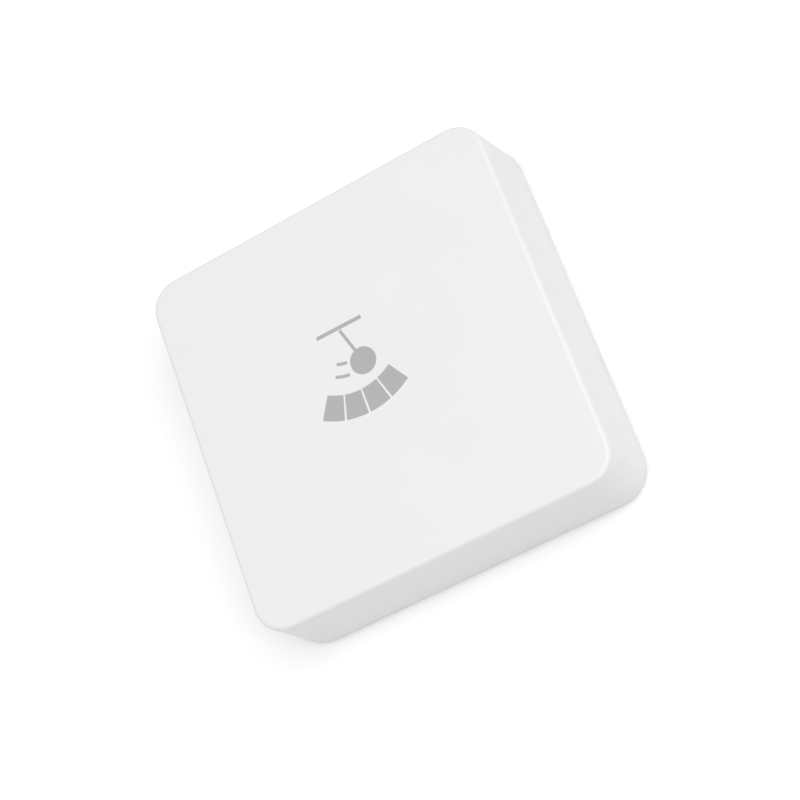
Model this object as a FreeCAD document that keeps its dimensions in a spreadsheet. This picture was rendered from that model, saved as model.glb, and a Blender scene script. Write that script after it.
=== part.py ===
# A battery tilt sensor for a garage door: a drafted white cover clipped over a back plate, which
# carries a circuit board with a coin cell, a ball tilt switch, a radio and a learn button.
# Millimetres. +Z runs out of the front face, +Y is the sensor's top on a closed door, and the
# origin is the middle of the adhesive face that the sensor rests on.

import FreeCAD, Part
import Sketcher
import math
import os

Vector = FreeCAD.Vector
doc = FreeCAD.newDocument("TiltSensor")
sheet = doc.addObject("Spreadsheet::Sheet", "Sizes")

# Driving dimensions, in millimetres and degrees
SIZES = {
    # housing
    "slope_run": 0.7,
    "rim_corner": 4.6,
    "edge_round": 0.6,
    "cover_wall": 1.5,
    "front_wall": 1.6,
    "lid_gap": 0.2,
    "inner_edge": 0.5,
    "pad_proud": 0.6,
    "shut_gap": 0.2,
    "notch_width": 12.0,
    "notch_depth": 1.1,
    # back plate
    "floor_thick": 1.8,
    "skirt_wall": 1.2,
    "skirt_height": 3.8,
    "recess_depth": 0.4,
    "pad_inset": 7.0,
    "pad_margin": 5.0,
    "pad_corner": 3.0,
    "pad_gap": 0.3,
    "hole_inset": 7.0,
    "hole_bore": 3.6,
    "head_bore": 7.0,
    "hole_boss": 8.4,
    "boss_rise": 0.8,
    # snap arms and the ledges that they hold
    "arm_offset": 11.0,
    "arm_width": 7.0,
    "arm_thick": 1.0,
    "arm_slit": 0.9,
    "arm_height": 5.0,
    "barb_height": 1.3,
    "barb_reach": 0.6,
    "barb_gap": 0.1,
    "barb_land": 0.3,
    "ledge_reach": 0.4,
    "ledge_height": 0.9,
    "ledge_width": 6.2,
    "ledge_gap": 0.05,
    # inside of the cover
    "stop_gap": 0.1,
    "stop_thick": 1.2,
    "stop_offset": 14.0,
    "keeper_thick": 1.0,
    "keeper_length": 15.0,
    "keeper_spacing": 12.0,
    "keeper_gap": 0.3,
    "shade_bore": 4.2,
    "shade_wall": 0.8,
    "shade_gap": 0.4,
    "glow_wall": 0.7,
    "rib_height": 0.7,
    "rib_thick": 0.9,
    "rib_gap": 0.95,
    # circuit board and what holds it
    "board_gap": 1.1,
    "board_corner": 1.5,
    "board_thick": 1.0,
    "board_rise": 1.2,
    "post_inset": 2.7,
    "post_width": 4.4,
    "pilot_depth": 2.4,
    "pin_width": 1.5,
    "pin_rise": 0.7,
    "pin_chamfer": 0.3,
    "fit_gap": 0.1,
    "driver_gap": 0.2,
    "screw_gap": 0.3,
    "screw_core": 1.6,
    "screw_length": 3.2,
    "screw_head": 3.8,
    "screw_crown": 1.3,
    "head_edge": 0.5,
    "cross_length": 2.2,
    "cross_width": 0.5,
    "cross_depth": 0.8,
    "rest_thick": 1.0,
    "rest_length": 20.0,
    # coin cell and its holder
    "cell_inset": 0.4,
    "cell_y": 0.0,
    "cell_width": 24.5,
    "cell_height": 5.0,
    "cell_sheet": 0.25,
    "cell_edge": 0.35,
    "cap_inset": 2.05,
    "cap_step": 0.8,
    "crimp_width": 1.3,
    "seal_thick": 0.6,
    "cell_gap": 0.2,
    "holder_base": 0.6,
    "holder_bore": 14.0,
    "holder_wall": 1.2,
    "holder_rise": 3.4,
    "hook_width": 4.0,
    "hook_reach": 0.9,
    "hook_crown": 0.9,
    "hook_gap": 0.1,
    "peg_width": 1.2,
    "peg_length": 0.9,
    "clip_width": 5.0,
    "clip_sheet": 0.25,
    "clip_foot": 2.6,
    "clip_rise": 0.5,
    "clip_reach": 9.0,
    "clip_toe": 1.0,
    "clip_bend": 0.2,
    "leaf_width": 3.6,
    "leaf_sheet": 0.2,
    "leaf_foot": 1.9,
    "leaf_reach": 4.0,
    # ball tilt switch
    "tilt_inset": 4.0,
    "tilt_y": -10.5,
    "tilt_rise": 2.18,
    "tilt_angle": 15.0,
    "can_width": 4.0,
    "can_length": 8.6,
    "can_wall": 0.25,
    "can_edge": 0.25,
    "header_length": 1.4,
    "header_flange": 0.6,
    "lead_width": 0.5,
    "lead_spacing": 1.6,
    "lead_tip": 0.4,
    "lead_run": 0.5,
    "lead_bend": 0.8,
    "lead_stub": 0.7,
    "lead_gap": 0.15,
    "ball_width": 3.2,
    "ball_gap": 0.1,
    "cradle_width": 5.2,
    "cradle_length": 5.6,
    "cradle_start": 1.2,
    "cradle_depth": 1.2,
    # learn button
    "button_inset": 10.0,
    "button_rise": 4.6,
    "button_side": 6.0,
    "button_corner": 0.6,
    "button_base": 2.9,
    "button_well": 4.8,
    "well_floor": 0.9,
    "button_sheet": 0.25,
    "mouth_gap": 0.2,
    "plunger_width": 3.4,
    "flange_thick": 0.9,
    "plunger_top": 4.3,
    "plunger_foot": 1.4,
    "plunger_edge": 0.25,
    "press_gap": 0.05,
    "dome_rise": 0.45,
    "dome_sheet": 0.1,
    "dome_shoulder": 0.88,
    "wing_length": 1.2,
    "wing_width": 3.6,
    "leg_spacing": 4.5,
    "leg_width": 0.7,
    "leg_sheet": 0.25,
    "leg_height": 0.7,
    "leg_reach": 1.5,
    "leg_knee": 0.6,
    # radio and small parts
    "chip_gap": 0.4,
    "chip_y": 3.6,
    "chip_side": 6.0,
    "chip_height": 0.9,
    "dot_width": 0.7,
    "dot_depth": 0.08,
    "crystal_inset": 10.0,
    "crystal_y": -3.4,
    "crystal_length": 3.2,
    "crystal_width": 2.5,
    "crystal_base": 0.35,
    "crystal_height": 0.8,
    "crystal_rim": 0.2,
    "lid_corner": 0.3,
    "tantalum_inset": 10.2,
    "tantalum_y": -8.2,
    "tantalum_length": 3.5,
    "tantalum_width": 2.8,
    "tantalum_height": 1.9,
    "tantalum_edge": 0.25,
    "led_inset": 7.0,
    "led_drop": 4.0,
    "led_length": 3.5,
    "led_width": 2.8,
    "led_height": 1.8,
    "lens_width": 2.4,
    "lens_depth": 1.2,
    "chip_part_length": 1.6,
    "chip_part_width": 0.8,
    "chip_part_height": 0.7,
    "chip_part_pitch": 2.4,
    "capacitor_inset": 11.8,
    "capacitor_y": 8.8,
    "resistor_gap": 1.15,
    # sheet metal antenna
    "antenna_edge": 0.6,
    "antenna_gap": 1.0,
    "antenna_y": 2.6,
    "antenna_length": 10.6,
    "antenna_width": 4.4,
    "antenna_rise": 3.6,
    "antenna_sheet": 0.3,
    "antenna_bend": 0.25,
    "antenna_leg": 1.1,
    "antenna_split": 2.0,
    "antenna_slot": 0.8,
    "antenna_pitch": 2.0,
    "antenna_reach": 3.0,
}

for row, (alias, number) in enumerate(SIZES.items(), start=1):
    sheet.set(f"A{row}", alias)
    sheet.set(f"B{row}", str(number))
    sheet.setAlias(f"B{row}", alias)
doc.recompute()


class Size:
    """A length with the sheet formula that it comes from, so that sums of sizes stay bound."""

    def __init__(self, text, value):
        self.text = text
        self.value = value

    def joined(self, sign, other, value):
        return Size(f"({self.text} {sign} {other.text})", value)

    def __add__(self, other):
        other = size(other)
        return self.joined("+", other, self.value + other.value)

    def __sub__(self, other):
        other = size(other)
        return self.joined("-", other, self.value - other.value)

    def __mul__(self, other):
        other = size(other)
        return self.joined("*", other, self.value * other.value)

    def __truediv__(self, other):
        other = size(other)
        return self.joined("/", other, self.value / other.value)

    def __radd__(self, other):
        return size(other) + self

    def __rsub__(self, other):
        return size(other) - self

    def __rmul__(self, other):
        return size(other) * self

    def __neg__(self):
        return Size(f"(-1 * {self.text})", -self.value)


def size(value):
    return value if isinstance(value, Size) else Size(repr(float(value)), float(value))


def sine(angle):
    return Size(f"sin({angle.text})", math.sin(math.radians(angle.value)))


def cosine(angle):
    return Size(f"cos({angle.text})", math.cos(math.radians(angle.value)))


def slope_angle(ratio):
    return Size(f"atan({ratio.text})", math.degrees(math.atan(ratio.value)))


def larger(a, b):
    return Size(f"max({a.text}; {b.text})", max(a.value, b.value))


class Sheet:
    """Gives each named cell as a Size."""

    def __getattr__(self, alias):
        return Size(f"Sizes.{alias}", float(sheet.get(alias)))


S = Sheet()

# Heights that several pieces share, up from the resting face
rim = S.pad_proud
floor_top = rim + S.floor_thick
skirt_top = rim + S.skirt_height
board_bottom = floor_top + S.board_rise
board_top = board_bottom + S.board_thick
cell_bottom = board_top + S.holder_base
cell_top = cell_bottom + S.cell_height
led_top = board_top + S.led_height

# The front clears whichever reaches highest: the cell's hooks, its contact or the tilt switch
hook_top = cell_top + S.hook_gap + S.hook_crown
clip_top = cell_top + S.clip_rise + S.clip_sheet
tube_rise = S.can_length * sine(S.tilt_angle) + S.can_width / 2 * cosine(S.tilt_angle)
tube_top = board_top + S.tilt_rise + tube_rise
ceiling = larger(larger(hook_top, clip_top), tube_top) + S.lid_gap
front = ceiling + S.front_wall
cover_depth = front - rim

# Half widths: the board holds the cell and, beside it, the radio chip and the antenna, and the
# case closes round the board
holder_half = S.cell_width / 2 + S.cell_gap + S.holder_wall
chip_column = S.leaf_foot + S.chip_gap + S.chip_side
column_width = chip_column + S.antenna_gap + S.antenna_width + S.antenna_edge
board_half = holder_half + (S.cell_inset + column_width) / 2
rim_half = board_half + S.board_gap + S.skirt_wall + S.shut_gap + S.cover_wall

# The drafted walls lean in by this much for each millimetre of height
draft = S.slope_run / cover_depth
lean = -slope_angle(draft)


def wall_inside(height):
    """Half the width inside the cover's walls at a height."""
    return rim_half - S.cover_wall - (height - rim) * draft


# Places of the pieces on the board, set in from its edges, and of the holes in the plate
tray_half = wall_inside(skirt_top) - S.shut_gap - S.skirt_wall
post = board_half - S.post_inset
cell_x = holder_half + S.cell_inset - board_half
peg_radius = (S.holder_bore + S.cell_width) / 4
clip_back = holder_half + S.cell_gap
tilt_x = board_half - S.tilt_inset
antenna_x = board_half - S.antenna_edge - S.antenna_width / 2
chip_x = antenna_x - S.antenna_width / 2 - S.antenna_gap - S.chip_side / 2
led_x, led_y = S.led_inset - board_half, board_half - S.led_drop
button_x, button_y = board_half - S.button_inset, S.button_rise - board_half
hole_y = rim_half - S.hole_inset
pad_width = 2 * (rim_half - S.pad_inset)
pad_height = 2 * (hole_y - S.pad_margin)


def origin(body, role):
    return next(f for f in body.Origin.OriginFeatures if f.Role == role)


def new_body(label, x=0, y=0, z=0):
    body = doc.addObject("PartDesign::Body", label)
    body.Label = label
    for axis, place in zip("xyz", (x, y, z)):
        body.setExpression(f"Placement.Base.{axis}", size(place).text)
    return body


def new_sketch(body, name, plane="XY_Plane", height=0):
    sketch = body.newObject("Sketcher::SketchObject", name)
    sketch.AttachmentSupport = [(origin(body, plane), "")]
    sketch.MapMode = "FlatFace"
    sketch.setExpression("AttachmentOffset.Base.z", size(height).text)
    return sketch


def dimension(sketch, kind, *where, value):
    """Adds a dimension to a sketch and binds it to the sheet."""
    value = size(value)
    index = sketch.addConstraint(Sketcher.Constraint(kind, *where, value.value))
    sketch.setExpression(f"Constraints[{index}]", value.text)


def place_point(sketch, geometry, point, x, y):
    dimension(sketch, "DistanceX", -1, 1, geometry, point, value=x)
    dimension(sketch, "DistanceY", -1, 1, geometry, point, value=y)


def polygon(sketch, corners):
    """A closed outline through corners, each held by its two coordinates."""
    corners = [(size(x), size(y)) for x, y in corners]
    spots = [Vector(x.value, y.value, 0) for x, y in corners]
    lines = [Part.LineSegment(a, b) for a, b in zip(spots, spots[1:] + spots[:1])]
    ids = sketch.addGeometry(lines, False)
    joints = [
        Sketcher.Constraint("Coincident", a, 2, b, 1) for a, b in zip(ids, ids[1:] + ids[:1])
    ]
    sketch.addConstraint(joints)
    for line, (x, y) in zip(ids, corners):
        place_point(sketch, line, 1, x, y)


def rectangle(sketch, x, y, width, height):
    """A rectangle with its middle at x, y."""
    x, y, width, height = size(x), size(y), size(width), size(height)
    left, right = x - width / 2, x + width / 2
    low, high = y - height / 2, y + height / 2
    polygon(sketch, [(left, low), (right, low), (right, high), (left, high)])


def rounded_rectangle(sketch, width, height, corner):
    """A rectangle about the origin with tangent arcs at its corners."""
    width, height, corner = size(width), size(height), size(corner)
    a, b, r = width.value / 2, height.value / 2, corner.value
    quarter = math.pi / 2
    ends = [
        (Vector(r - a, -b, 0), Vector(a - r, -b, 0)),
        (Vector(a, r - b, 0), Vector(a, b - r, 0)),
        (Vector(a - r, b, 0), Vector(r - a, b, 0)),
        (Vector(-a, b - r, 0), Vector(-a, r - b, 0)),
    ]
    centres = [(a - r, r - b), (a - r, b - r), (r - a, b - r), (r - a, r - b)]
    shapes = []
    for k, ((start, end), (cx, cy)) in enumerate(zip(ends, centres)):
        circle = Part.Circle(Vector(cx, cy, 0), Vector(0, 0, 1), r)
        shapes.append(Part.LineSegment(start, end))
        shapes.append(Part.ArcOfCircle(circle, (k - 1) * quarter, k * quarter))
    ids = sketch.addGeometry(shapes, False)
    rules = [
        Sketcher.Constraint("Tangent", a, 2, b, 1) for a, b in zip(ids, ids[1:] + ids[:1])
    ]
    south, east, north, west = ids[0::2]
    rules += [Sketcher.Constraint("Horizontal", line) for line in (south, north)]
    rules += [Sketcher.Constraint("Vertical", line) for line in (east, west)]
    rules += [Sketcher.Constraint("Equal", ids[1], arc) for arc in ids[3::2]]
    sketch.addConstraint(rules)
    dimension(sketch, "Radius", ids[1], value=corner)
    dimension(sketch, "DistanceY", -1, 1, south, 1, value=-height / 2)
    dimension(sketch, "DistanceY", -1, 1, north, 1, value=height / 2)
    dimension(sketch, "DistanceX", -1, 1, west, 1, value=-width / 2)
    dimension(sketch, "DistanceX", -1, 1, east, 1, value=width / 2)


def circle(sketch, x, y, width):
    """A circle of a given diameter with its middle at x, y."""
    x, y, width = size(x), size(y), size(width)
    ring = Part.Circle(Vector(x.value, y.value, 0), Vector(0, 0, 1), width.value / 2)
    index = sketch.addGeometry(ring, False)
    place_point(sketch, index, 3, x, y)
    dimension(sketch, "Diameter", index, value=width)


def pad(body, sketch, length, name, taper=None, reverse=False, middle=False):
    """Adds material along the sketch's normal."""
    feature = body.newObject("PartDesign::Pad", name)
    feature.Profile = (sketch, [""])
    feature.Reversed = reverse
    feature.Midplane = middle
    feature.setExpression("Length", size(length).text)
    if taper is not None:
        feature.setExpression("TaperAngle", taper.text)
    doc.recompute()
    return feature


def pocket(body, sketch, length, name, taper=None, reverse=False, middle=False):
    """Cuts against the sketch's normal, or along it if reversed, and checks that it cut."""
    before = body.Shape.Volume
    feature = body.newObject("PartDesign::Pocket", name)
    feature.Profile = (sketch, [""])
    feature.Reversed = reverse
    feature.Midplane = middle
    feature.setExpression("Length", size(length).text)
    if taper is not None:
        feature.setExpression("TaperAngle", taper.text)
    doc.recompute()
    if body.Shape.Volume >= before:
        raise RuntimeError(f"{name} cuts nothing from {body.Label}")
    return feature


def revolve(body, sketch, name, axis):
    """Turns a profile a full circle about one of the body's own axes."""
    feature = body.newObject("PartDesign::Revolution", name)
    feature.Profile = (sketch, [""])
    feature.ReferenceAxis = (origin(body, axis), [""])
    feature.Angle = 360
    doc.recompute()
    return feature


def mirrored(body, features, plane, name):
    feature = body.newObject("PartDesign::Mirrored", name)
    feature.Originals = features
    feature.MirrorPlane = (origin(body, plane), [""])
    body.Tip = feature
    doc.recompute()
    return feature


def edges_where(feature, test):
    names = [f"Edge{n}" for n, edge in enumerate(feature.Shape.Edges, start=1) if test(edge)]
    if not names:
        raise RuntimeError(f"no edge of {feature.Label} fits")
    return names


def rounded(body, test, radius, name, kind="Fillet"):
    """Rounds or chamfers the edges of the body's last feature that pass a test."""
    base = body.Tip
    feature = body.newObject("PartDesign::" + kind, name)
    feature.Base = (base, edges_where(base, test))
    feature.setExpression("Radius" if kind == "Fillet" else "Size", size(radius).text)
    doc.recompute()
    return feature


NEAR = 1e-4


def flat_at(height):
    """A test for edges that lie all along one height."""
    level = size(height).value

    def test(edge):
        box = edge.BoundBox
        return abs(box.ZMin - level) < NEAR and abs(box.ZMax - level) < NEAR

    return test


def round_at(height, width):
    """A test for circles of one diameter at one height."""
    level, radius = flat_at(height), size(width).value / 2

    def test(edge):
        return level(edge) and abs(getattr(edge.Curve, "Radius", 0) - radius) < NEAR

    return test


# Front cover: a drafted tray with a rounded front edge, hollowed from behind
def make_front_cover():
    body = new_body("front_cover")
    outline = new_sketch(body, "cover_outline", height=rim)
    rounded_rectangle(outline, 2 * rim_half, 2 * rim_half, S.rim_corner)
    pad(body, outline, cover_depth, "drafted_block", taper=lean)
    rounded(body, flat_at(front), S.edge_round, "front_edge")

    inside = new_sketch(body, "cavity_outline", height=rim)
    span = 2 * (rim_half - S.cover_wall)
    rounded_rectangle(inside, span, span, S.rim_corner - S.cover_wall)
    pocket(body, inside, ceiling - rim, "cavity", taper=lean, reverse=True)
    rounded(body, flat_at(ceiling), S.inner_edge, "cavity_edge", "Chamfer")

    # Ledges that the plate's snap arms catch, sloped underneath to ride over the barbs
    catch = floor_top + S.arm_height - S.barb_height - S.ledge_gap
    tip = wall_inside(catch) - S.ledge_reach
    root = wall_inside(catch) + S.cover_wall / 2
    lower = catch - S.ledge_height
    section = [(tip, catch), (tip, catch - S.ledge_height / 3), (root, lower), (root, catch)]
    ledge = new_sketch(body, "ledge_section", "XZ_Plane", -S.arm_offset)
    for side in (-1, 1):
        polygon(ledge, [(side * x, z) for x, z in section])
    bars = pad(body, ledge, S.ledge_width, "ledges", middle=True)
    mirrored(body, [bars], "XZ_Plane", "ledge_pairs")

    # Stops that stand on the plate's skirt when the cover is shut
    stops = new_sketch(body, "stop_plan", height=ceiling)
    seat = skirt_top + S.stop_gap
    buried = wall_inside(ceiling) + S.cover_wall / 2
    for side in (-1, 1):
        middle = side * (tray_half + buried) / 2
        for end in (-1, 1):
            rectangle(stops, end * S.stop_offset, middle, S.stop_thick, buried - tray_half)
        rectangle(stops, middle, 0, buried - tray_half, S.stop_thick)
    pad(body, stops, ceiling - seat, "stops", reverse=True)

    # Ribs that keep the cell down, low ribs that stiffen the front, and a shade round the lamp
    keepers = new_sketch(body, "keeper_plan", height=ceiling)
    for side in (-1, 1):
        x = cell_x + side * S.keeper_spacing / 2
        rectangle(keepers, x, S.cell_y, S.keeper_thick, S.keeper_length)
    pad(body, keepers, ceiling - cell_top - S.keeper_gap, "cell_keepers", reverse=True)
    ribs = new_sketch(body, "rib_plan", height=ceiling)
    long_side = 2 * wall_inside(ceiling)
    beside_clip = S.cell_y + clip_back + S.clip_sheet + S.rib_gap + S.rib_thick / 2
    for side in (-1, 1):
        rectangle(ribs, 0, side * beside_clip, long_side, S.rib_thick)
    pad(body, ribs, S.rib_height, "front_ribs", reverse=True)
    shade = new_sketch(body, "shade_plan", height=ceiling)
    circle(shade, led_x, led_y, S.shade_bore + 2 * S.shade_wall)
    pad(body, shade, ceiling - led_top - S.shade_gap, "lamp_shade", reverse=True)
    glow = new_sketch(body, "glow_plan", height=front - S.glow_wall)
    circle(glow, led_x, led_y, S.shade_bore)
    pocket(body, glow, front - S.glow_wall - led_top, "glow_window")

    # A coin's notch in the rim's top side, to lever the cover off
    notch = new_sketch(body, "notch_plan", "XZ_Plane", -rim_half)
    rectangle(notch, 0, rim, S.notch_width, 2 * S.notch_depth)
    pocket(body, notch, 2 * S.cover_wall, "lever_notch", middle=True)
    return body


# Back plate: a shallow tray whose skirt sits inside the cover, with posts, pins and snap arms
def make_back_plate():
    body = new_body("back_plate")
    outline = new_sketch(body, "plate_outline", height=rim)
    inset = S.cover_wall + S.shut_gap
    span = 2 * (rim_half - inset)
    rounded_rectangle(outline, span, span, S.rim_corner - inset)
    pad(body, outline, S.skirt_height, "plate_block", taper=lean)
    tray = new_sketch(body, "tray_outline", height=skirt_top)
    rounded_rectangle(tray, 2 * tray_half, 2 * tray_half, S.rim_corner - inset - S.skirt_wall)
    pocket(body, tray, S.skirt_height - S.floor_thick, "tray")

    # Gaps in the skirt, with an arm rising in each that carries a barb
    top = floor_top + S.arm_height
    catch = top - S.barb_height
    face = wall_inside(catch) - S.barb_gap - S.barb_reach
    tip = wall_inside(catch) - S.barb_gap
    gap = new_sketch(body, "arm_gap_plan", height=skirt_top)
    gap_width = S.arm_width + 2 * S.arm_slit
    for side in (-1, 1):
        for end in (-1, 1):
            x = side * (face + S.skirt_wall)
            rectangle(gap, x, end * S.arm_offset, 4 * S.skirt_wall, gap_width)
    pocket(body, gap, skirt_top - floor_top, "arm_gaps")
    buried = floor_top - S.floor_thick / 3
    section = [
        (face - S.arm_thick, buried),
        (face, buried),
        (face, catch),
        (tip, catch),
        (tip, catch + S.barb_land),
        (face, top),
        (face - S.arm_thick, top),
    ]
    arm = new_sketch(body, "arm_section", "XZ_Plane", -S.arm_offset)
    for side in (-1, 1):
        polygon(arm, [(side * x, z) for x, z in section])
    arms = pad(body, arm, S.arm_width, "snap_arms", middle=True)
    mirrored(body, [arms], "XZ_Plane", "snap_arm_pairs")

    # Bosses round the two wall screws, posts for the board, and rails under the cell
    bosses = new_sketch(body, "boss_plan", height=floor_top)
    for side in (-1, 1):
        circle(bosses, 0, side * hole_y, S.hole_boss)
    pad(body, bosses, S.boss_rise, "screw_bosses")
    posts = new_sketch(body, "post_plan", height=floor_top)
    for x in (-1, 1):
        for y in (-1, 1):
            circle(posts, x * post, y * post, S.post_width)
    pad(body, posts, S.board_rise, "board_posts")
    rails = new_sketch(body, "rail_plan", height=floor_top)
    for side in (-1, 1):
        x = cell_x + side * S.holder_bore / 2
        rectangle(rails, x, S.cell_y, S.rest_thick, S.rest_length)
    pad(body, rails, S.board_rise, "board_rails")
    pins = new_sketch(body, "pin_plan", height=board_bottom)
    for side in (-1, 1):
        circle(pins, side * post, -side * post, S.pin_width)
    pad(body, pins, S.board_thick + S.pin_rise, "locating_pins")
    tip_height = board_top + S.pin_rise
    rounded(body, round_at(tip_height, S.pin_width), S.pin_chamfer, "pin_tips", "Chamfer")
    pilots = new_sketch(body, "pilot_plan", height=board_bottom)
    for side in (-1, 1):
        circle(pilots, side * post, side * post, S.screw_core + S.fit_gap)
    pocket(body, pilots, S.pilot_depth, "pilot_bores")

    # Wall screw holes, coned for their heads, and the recess that seats the adhesive pad
    boss_top = floor_top + S.boss_rise
    holes = new_sketch(body, "hole_plan", height=boss_top)
    for side in (-1, 1):
        circle(holes, 0, side * hole_y, S.hole_bore)
    pocket(body, holes, S.floor_thick + S.boss_rise, "screw_holes")
    cone = (S.head_bore - S.hole_bore) / 2
    rounded(body, round_at(boss_top, S.hole_bore), cone, "head_cones", "Chamfer")
    recess = new_sketch(body, "recess_plan", height=rim)
    width, height = pad_width + 2 * S.pad_gap, pad_height + 2 * S.pad_gap
    rounded_rectangle(recess, width, height, S.pad_corner + S.pad_gap)
    pocket(body, recess, S.recess_depth, "pad_recess", reverse=True)
    return body


def make_adhesive_pad():
    body = new_body("adhesive_pad")
    outline = new_sketch(body, "pad_outline")
    rounded_rectangle(outline, pad_width, pad_height, S.pad_corner)
    pad(body, outline, rim + S.recess_depth, "foam")
    return body


# Circuit board: its outline clears the wall screws, and each hole follows the piece it takes
def make_circuit_board():
    body = new_body("circuit_board")
    outline = new_sketch(body, "board_outline", height=board_bottom)
    rounded_rectangle(outline, 2 * board_half, 2 * board_half, S.board_corner)
    pad(body, outline, S.board_thick, "laminate")

    access = new_sketch(body, "driver_plan", height=board_top)
    driver_bore = S.hole_boss + 2 * S.driver_gap
    for side in (-1, 1):
        circle(access, 0, side * hole_y, driver_bore)
    pocket(body, access, S.board_thick, "driver_bores")
    mouths = new_sketch(body, "driver_mouths", height=board_top)
    depth = 2 * (board_half - hole_y)
    for side in (-1, 1):
        rectangle(mouths, 0, side * board_half, driver_bore, depth)
    pocket(body, mouths, S.board_thick, "driver_slots")

    holes = new_sketch(body, "board_holes", height=board_top)
    for side in (-1, 1):
        circle(holes, side * post, side * post, S.screw_core + 2 * S.screw_gap)
        circle(holes, side * post, -side * post, S.pin_width + 2 * S.fit_gap)
        circle(holes, cell_x, S.cell_y + side * peg_radius, S.peg_width + 2 * S.fit_gap)
        x = tilt_x + side * S.lead_spacing / 2
        circle(holes, x, lead_drop(), S.lead_width + 2 * S.lead_gap)
    pocket(body, holes, S.board_thick, "drilled_holes")
    return body


def make_board_screws():
    body = new_body("board_screws")
    head = new_sketch(body, "head_plan", height=board_top)
    circle(head, post, post, S.screw_head)
    crown = pad(body, head, S.screw_crown, "pan_head")
    shank = new_sketch(body, "shank_plan", height=board_top)
    circle(shank, post, post, S.screw_core)
    stem = pad(body, shank, S.screw_length, "shank", reverse=True)
    cross = new_sketch(body, "cross_plan", height=board_top + S.screw_crown)
    arm, slot = S.cross_length / 2, S.cross_width / 2
    quarter = [(arm, slot), (slot, slot), (slot, arm)]
    outline = []
    for _ in range(4):
        outline += quarter
        quarter = [(-b, a) for a, b in quarter]
    polygon(cross, [(post + a, post + b) for a, b in outline])
    recess = pocket(body, cross, S.cross_depth, "cross_recess")
    pair = body.newObject("PartDesign::PolarPattern", "screw_pair")
    pair.Originals = [crown, stem, recess]
    pair.Axis = (origin(body, "Z_Axis"), [""])
    pair.Angle = 360
    pair.Occurrences = 2
    body.Tip = pair
    doc.recompute()
    crown_top = board_top + S.screw_crown
    rounded(body, round_at(crown_top, S.screw_head), S.head_edge, "head_edges", "Chamfer")
    return body


# Coin cell holder: a moulded ring with three hooks that the cell snaps under
def make_battery_holder():
    body = new_body("battery_holder", cell_x, S.cell_y, board_top)
    outer = 2 * holder_half
    base = new_sketch(body, "base_plan")
    circle(base, 0, 0, outer)
    circle(base, 0, 0, S.holder_bore)
    pad(body, base, S.holder_base, "base_ring")
    wall = new_sketch(body, "wall_plan", height=S.holder_base)
    circle(wall, 0, 0, outer)
    circle(wall, 0, 0, S.cell_width + 2 * S.cell_gap)
    pad(body, wall, S.holder_rise, "cell_wall")

    gate = new_sketch(body, "clip_gate_plan", height=S.holder_base + S.holder_rise)
    depth = 3 * S.holder_wall
    rectangle(gate, 0, outer / 2, S.clip_width + 4 * S.cell_gap, depth)
    pocket(body, gate, S.holder_rise, "clip_gate")
    slot = new_sketch(body, "leaf_slot_plan")
    run = outer / 2 - S.holder_bore / 2
    middle = (outer + S.holder_bore) / 4
    rectangle(slot, middle, 0, run + S.holder_wall, S.leaf_width + 2 * S.fit_gap)
    pocket(body, slot, S.leaf_sheet + S.fit_gap, "leaf_slot", reverse=True)

    # One hook on the low side, turned round the cell to make three
    hook = new_sketch(body, "hook_section", "YZ_Plane")
    inside = -(S.cell_width / 2 + S.cell_gap)
    outside = -outer / 2
    lip = S.holder_base + S.cell_height + S.hook_gap
    polygon(
        hook,
        [
            (outside, 0),
            (outside, lip + S.hook_crown / 2),
            (outside + S.hook_crown / 2, lip + S.hook_crown),
            (inside, lip + S.hook_crown),
            (inside + S.hook_reach, lip + S.hook_crown / 3),
            (inside + S.hook_reach, lip),
            (inside, lip),
            (inside, S.holder_base),
            (inside, 0),
        ],
    )
    barb = pad(body, hook, S.hook_width, "cell_hook", middle=True)
    trio = body.newObject("PartDesign::PolarPattern", "cell_hooks")
    trio.Originals = [barb]
    trio.Axis = (origin(body, "Z_Axis"), [""])
    trio.Angle = 360
    trio.Occurrences = 3
    body.Tip = trio
    doc.recompute()
    pegs = new_sketch(body, "peg_plan")
    for side in (-1, 1):
        circle(pegs, 0, side * peg_radius, S.peg_width)
    pad(body, pegs, S.peg_length, "pegs", reverse=True)
    return body


# Positive contact: a strip that stands on the board and springs down on the cell's crown
def make_battery_clip():
    body = new_body("battery_clip", cell_x, S.cell_y, board_top)
    gauge = S.clip_sheet
    out = clip_back + S.clip_foot
    crown = S.holder_base + S.cell_height
    top = crown + S.clip_rise
    touch = crown + S.hook_gap / 2
    dip = S.cell_width / 2 - S.clip_rise
    end = S.cell_width / 2 - S.clip_reach
    toe = end - S.clip_toe
    section = new_sketch(body, "strip_section", "YZ_Plane")
    polygon(
        section,
        [
            (out, 0),
            (out, gauge),
            (clip_back + gauge, gauge),
            (clip_back + gauge, top + gauge),
            (dip, top + gauge),
            (end, touch + gauge),
            (toe, top + gauge),
            (toe, top),
            (end, touch),
            (dip, top),
            (clip_back, top),
            (clip_back, 0),
        ],
    )
    pad(body, section, S.clip_width, "strip", middle=True)
    corners = [(clip_back + gauge, top + gauge), (clip_back, size(0))]

    def outer_bend(edge):
        box = edge.BoundBox
        across = box.YLength < NEAR and box.ZLength < NEAR
        return across and any(
            abs(box.YMin - y.value) < NEAR and abs(box.ZMin - z.value) < NEAR for y, z in corners
        )

    rounded(body, outer_bend, S.clip_bend, "outer_bends")
    return body


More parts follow.
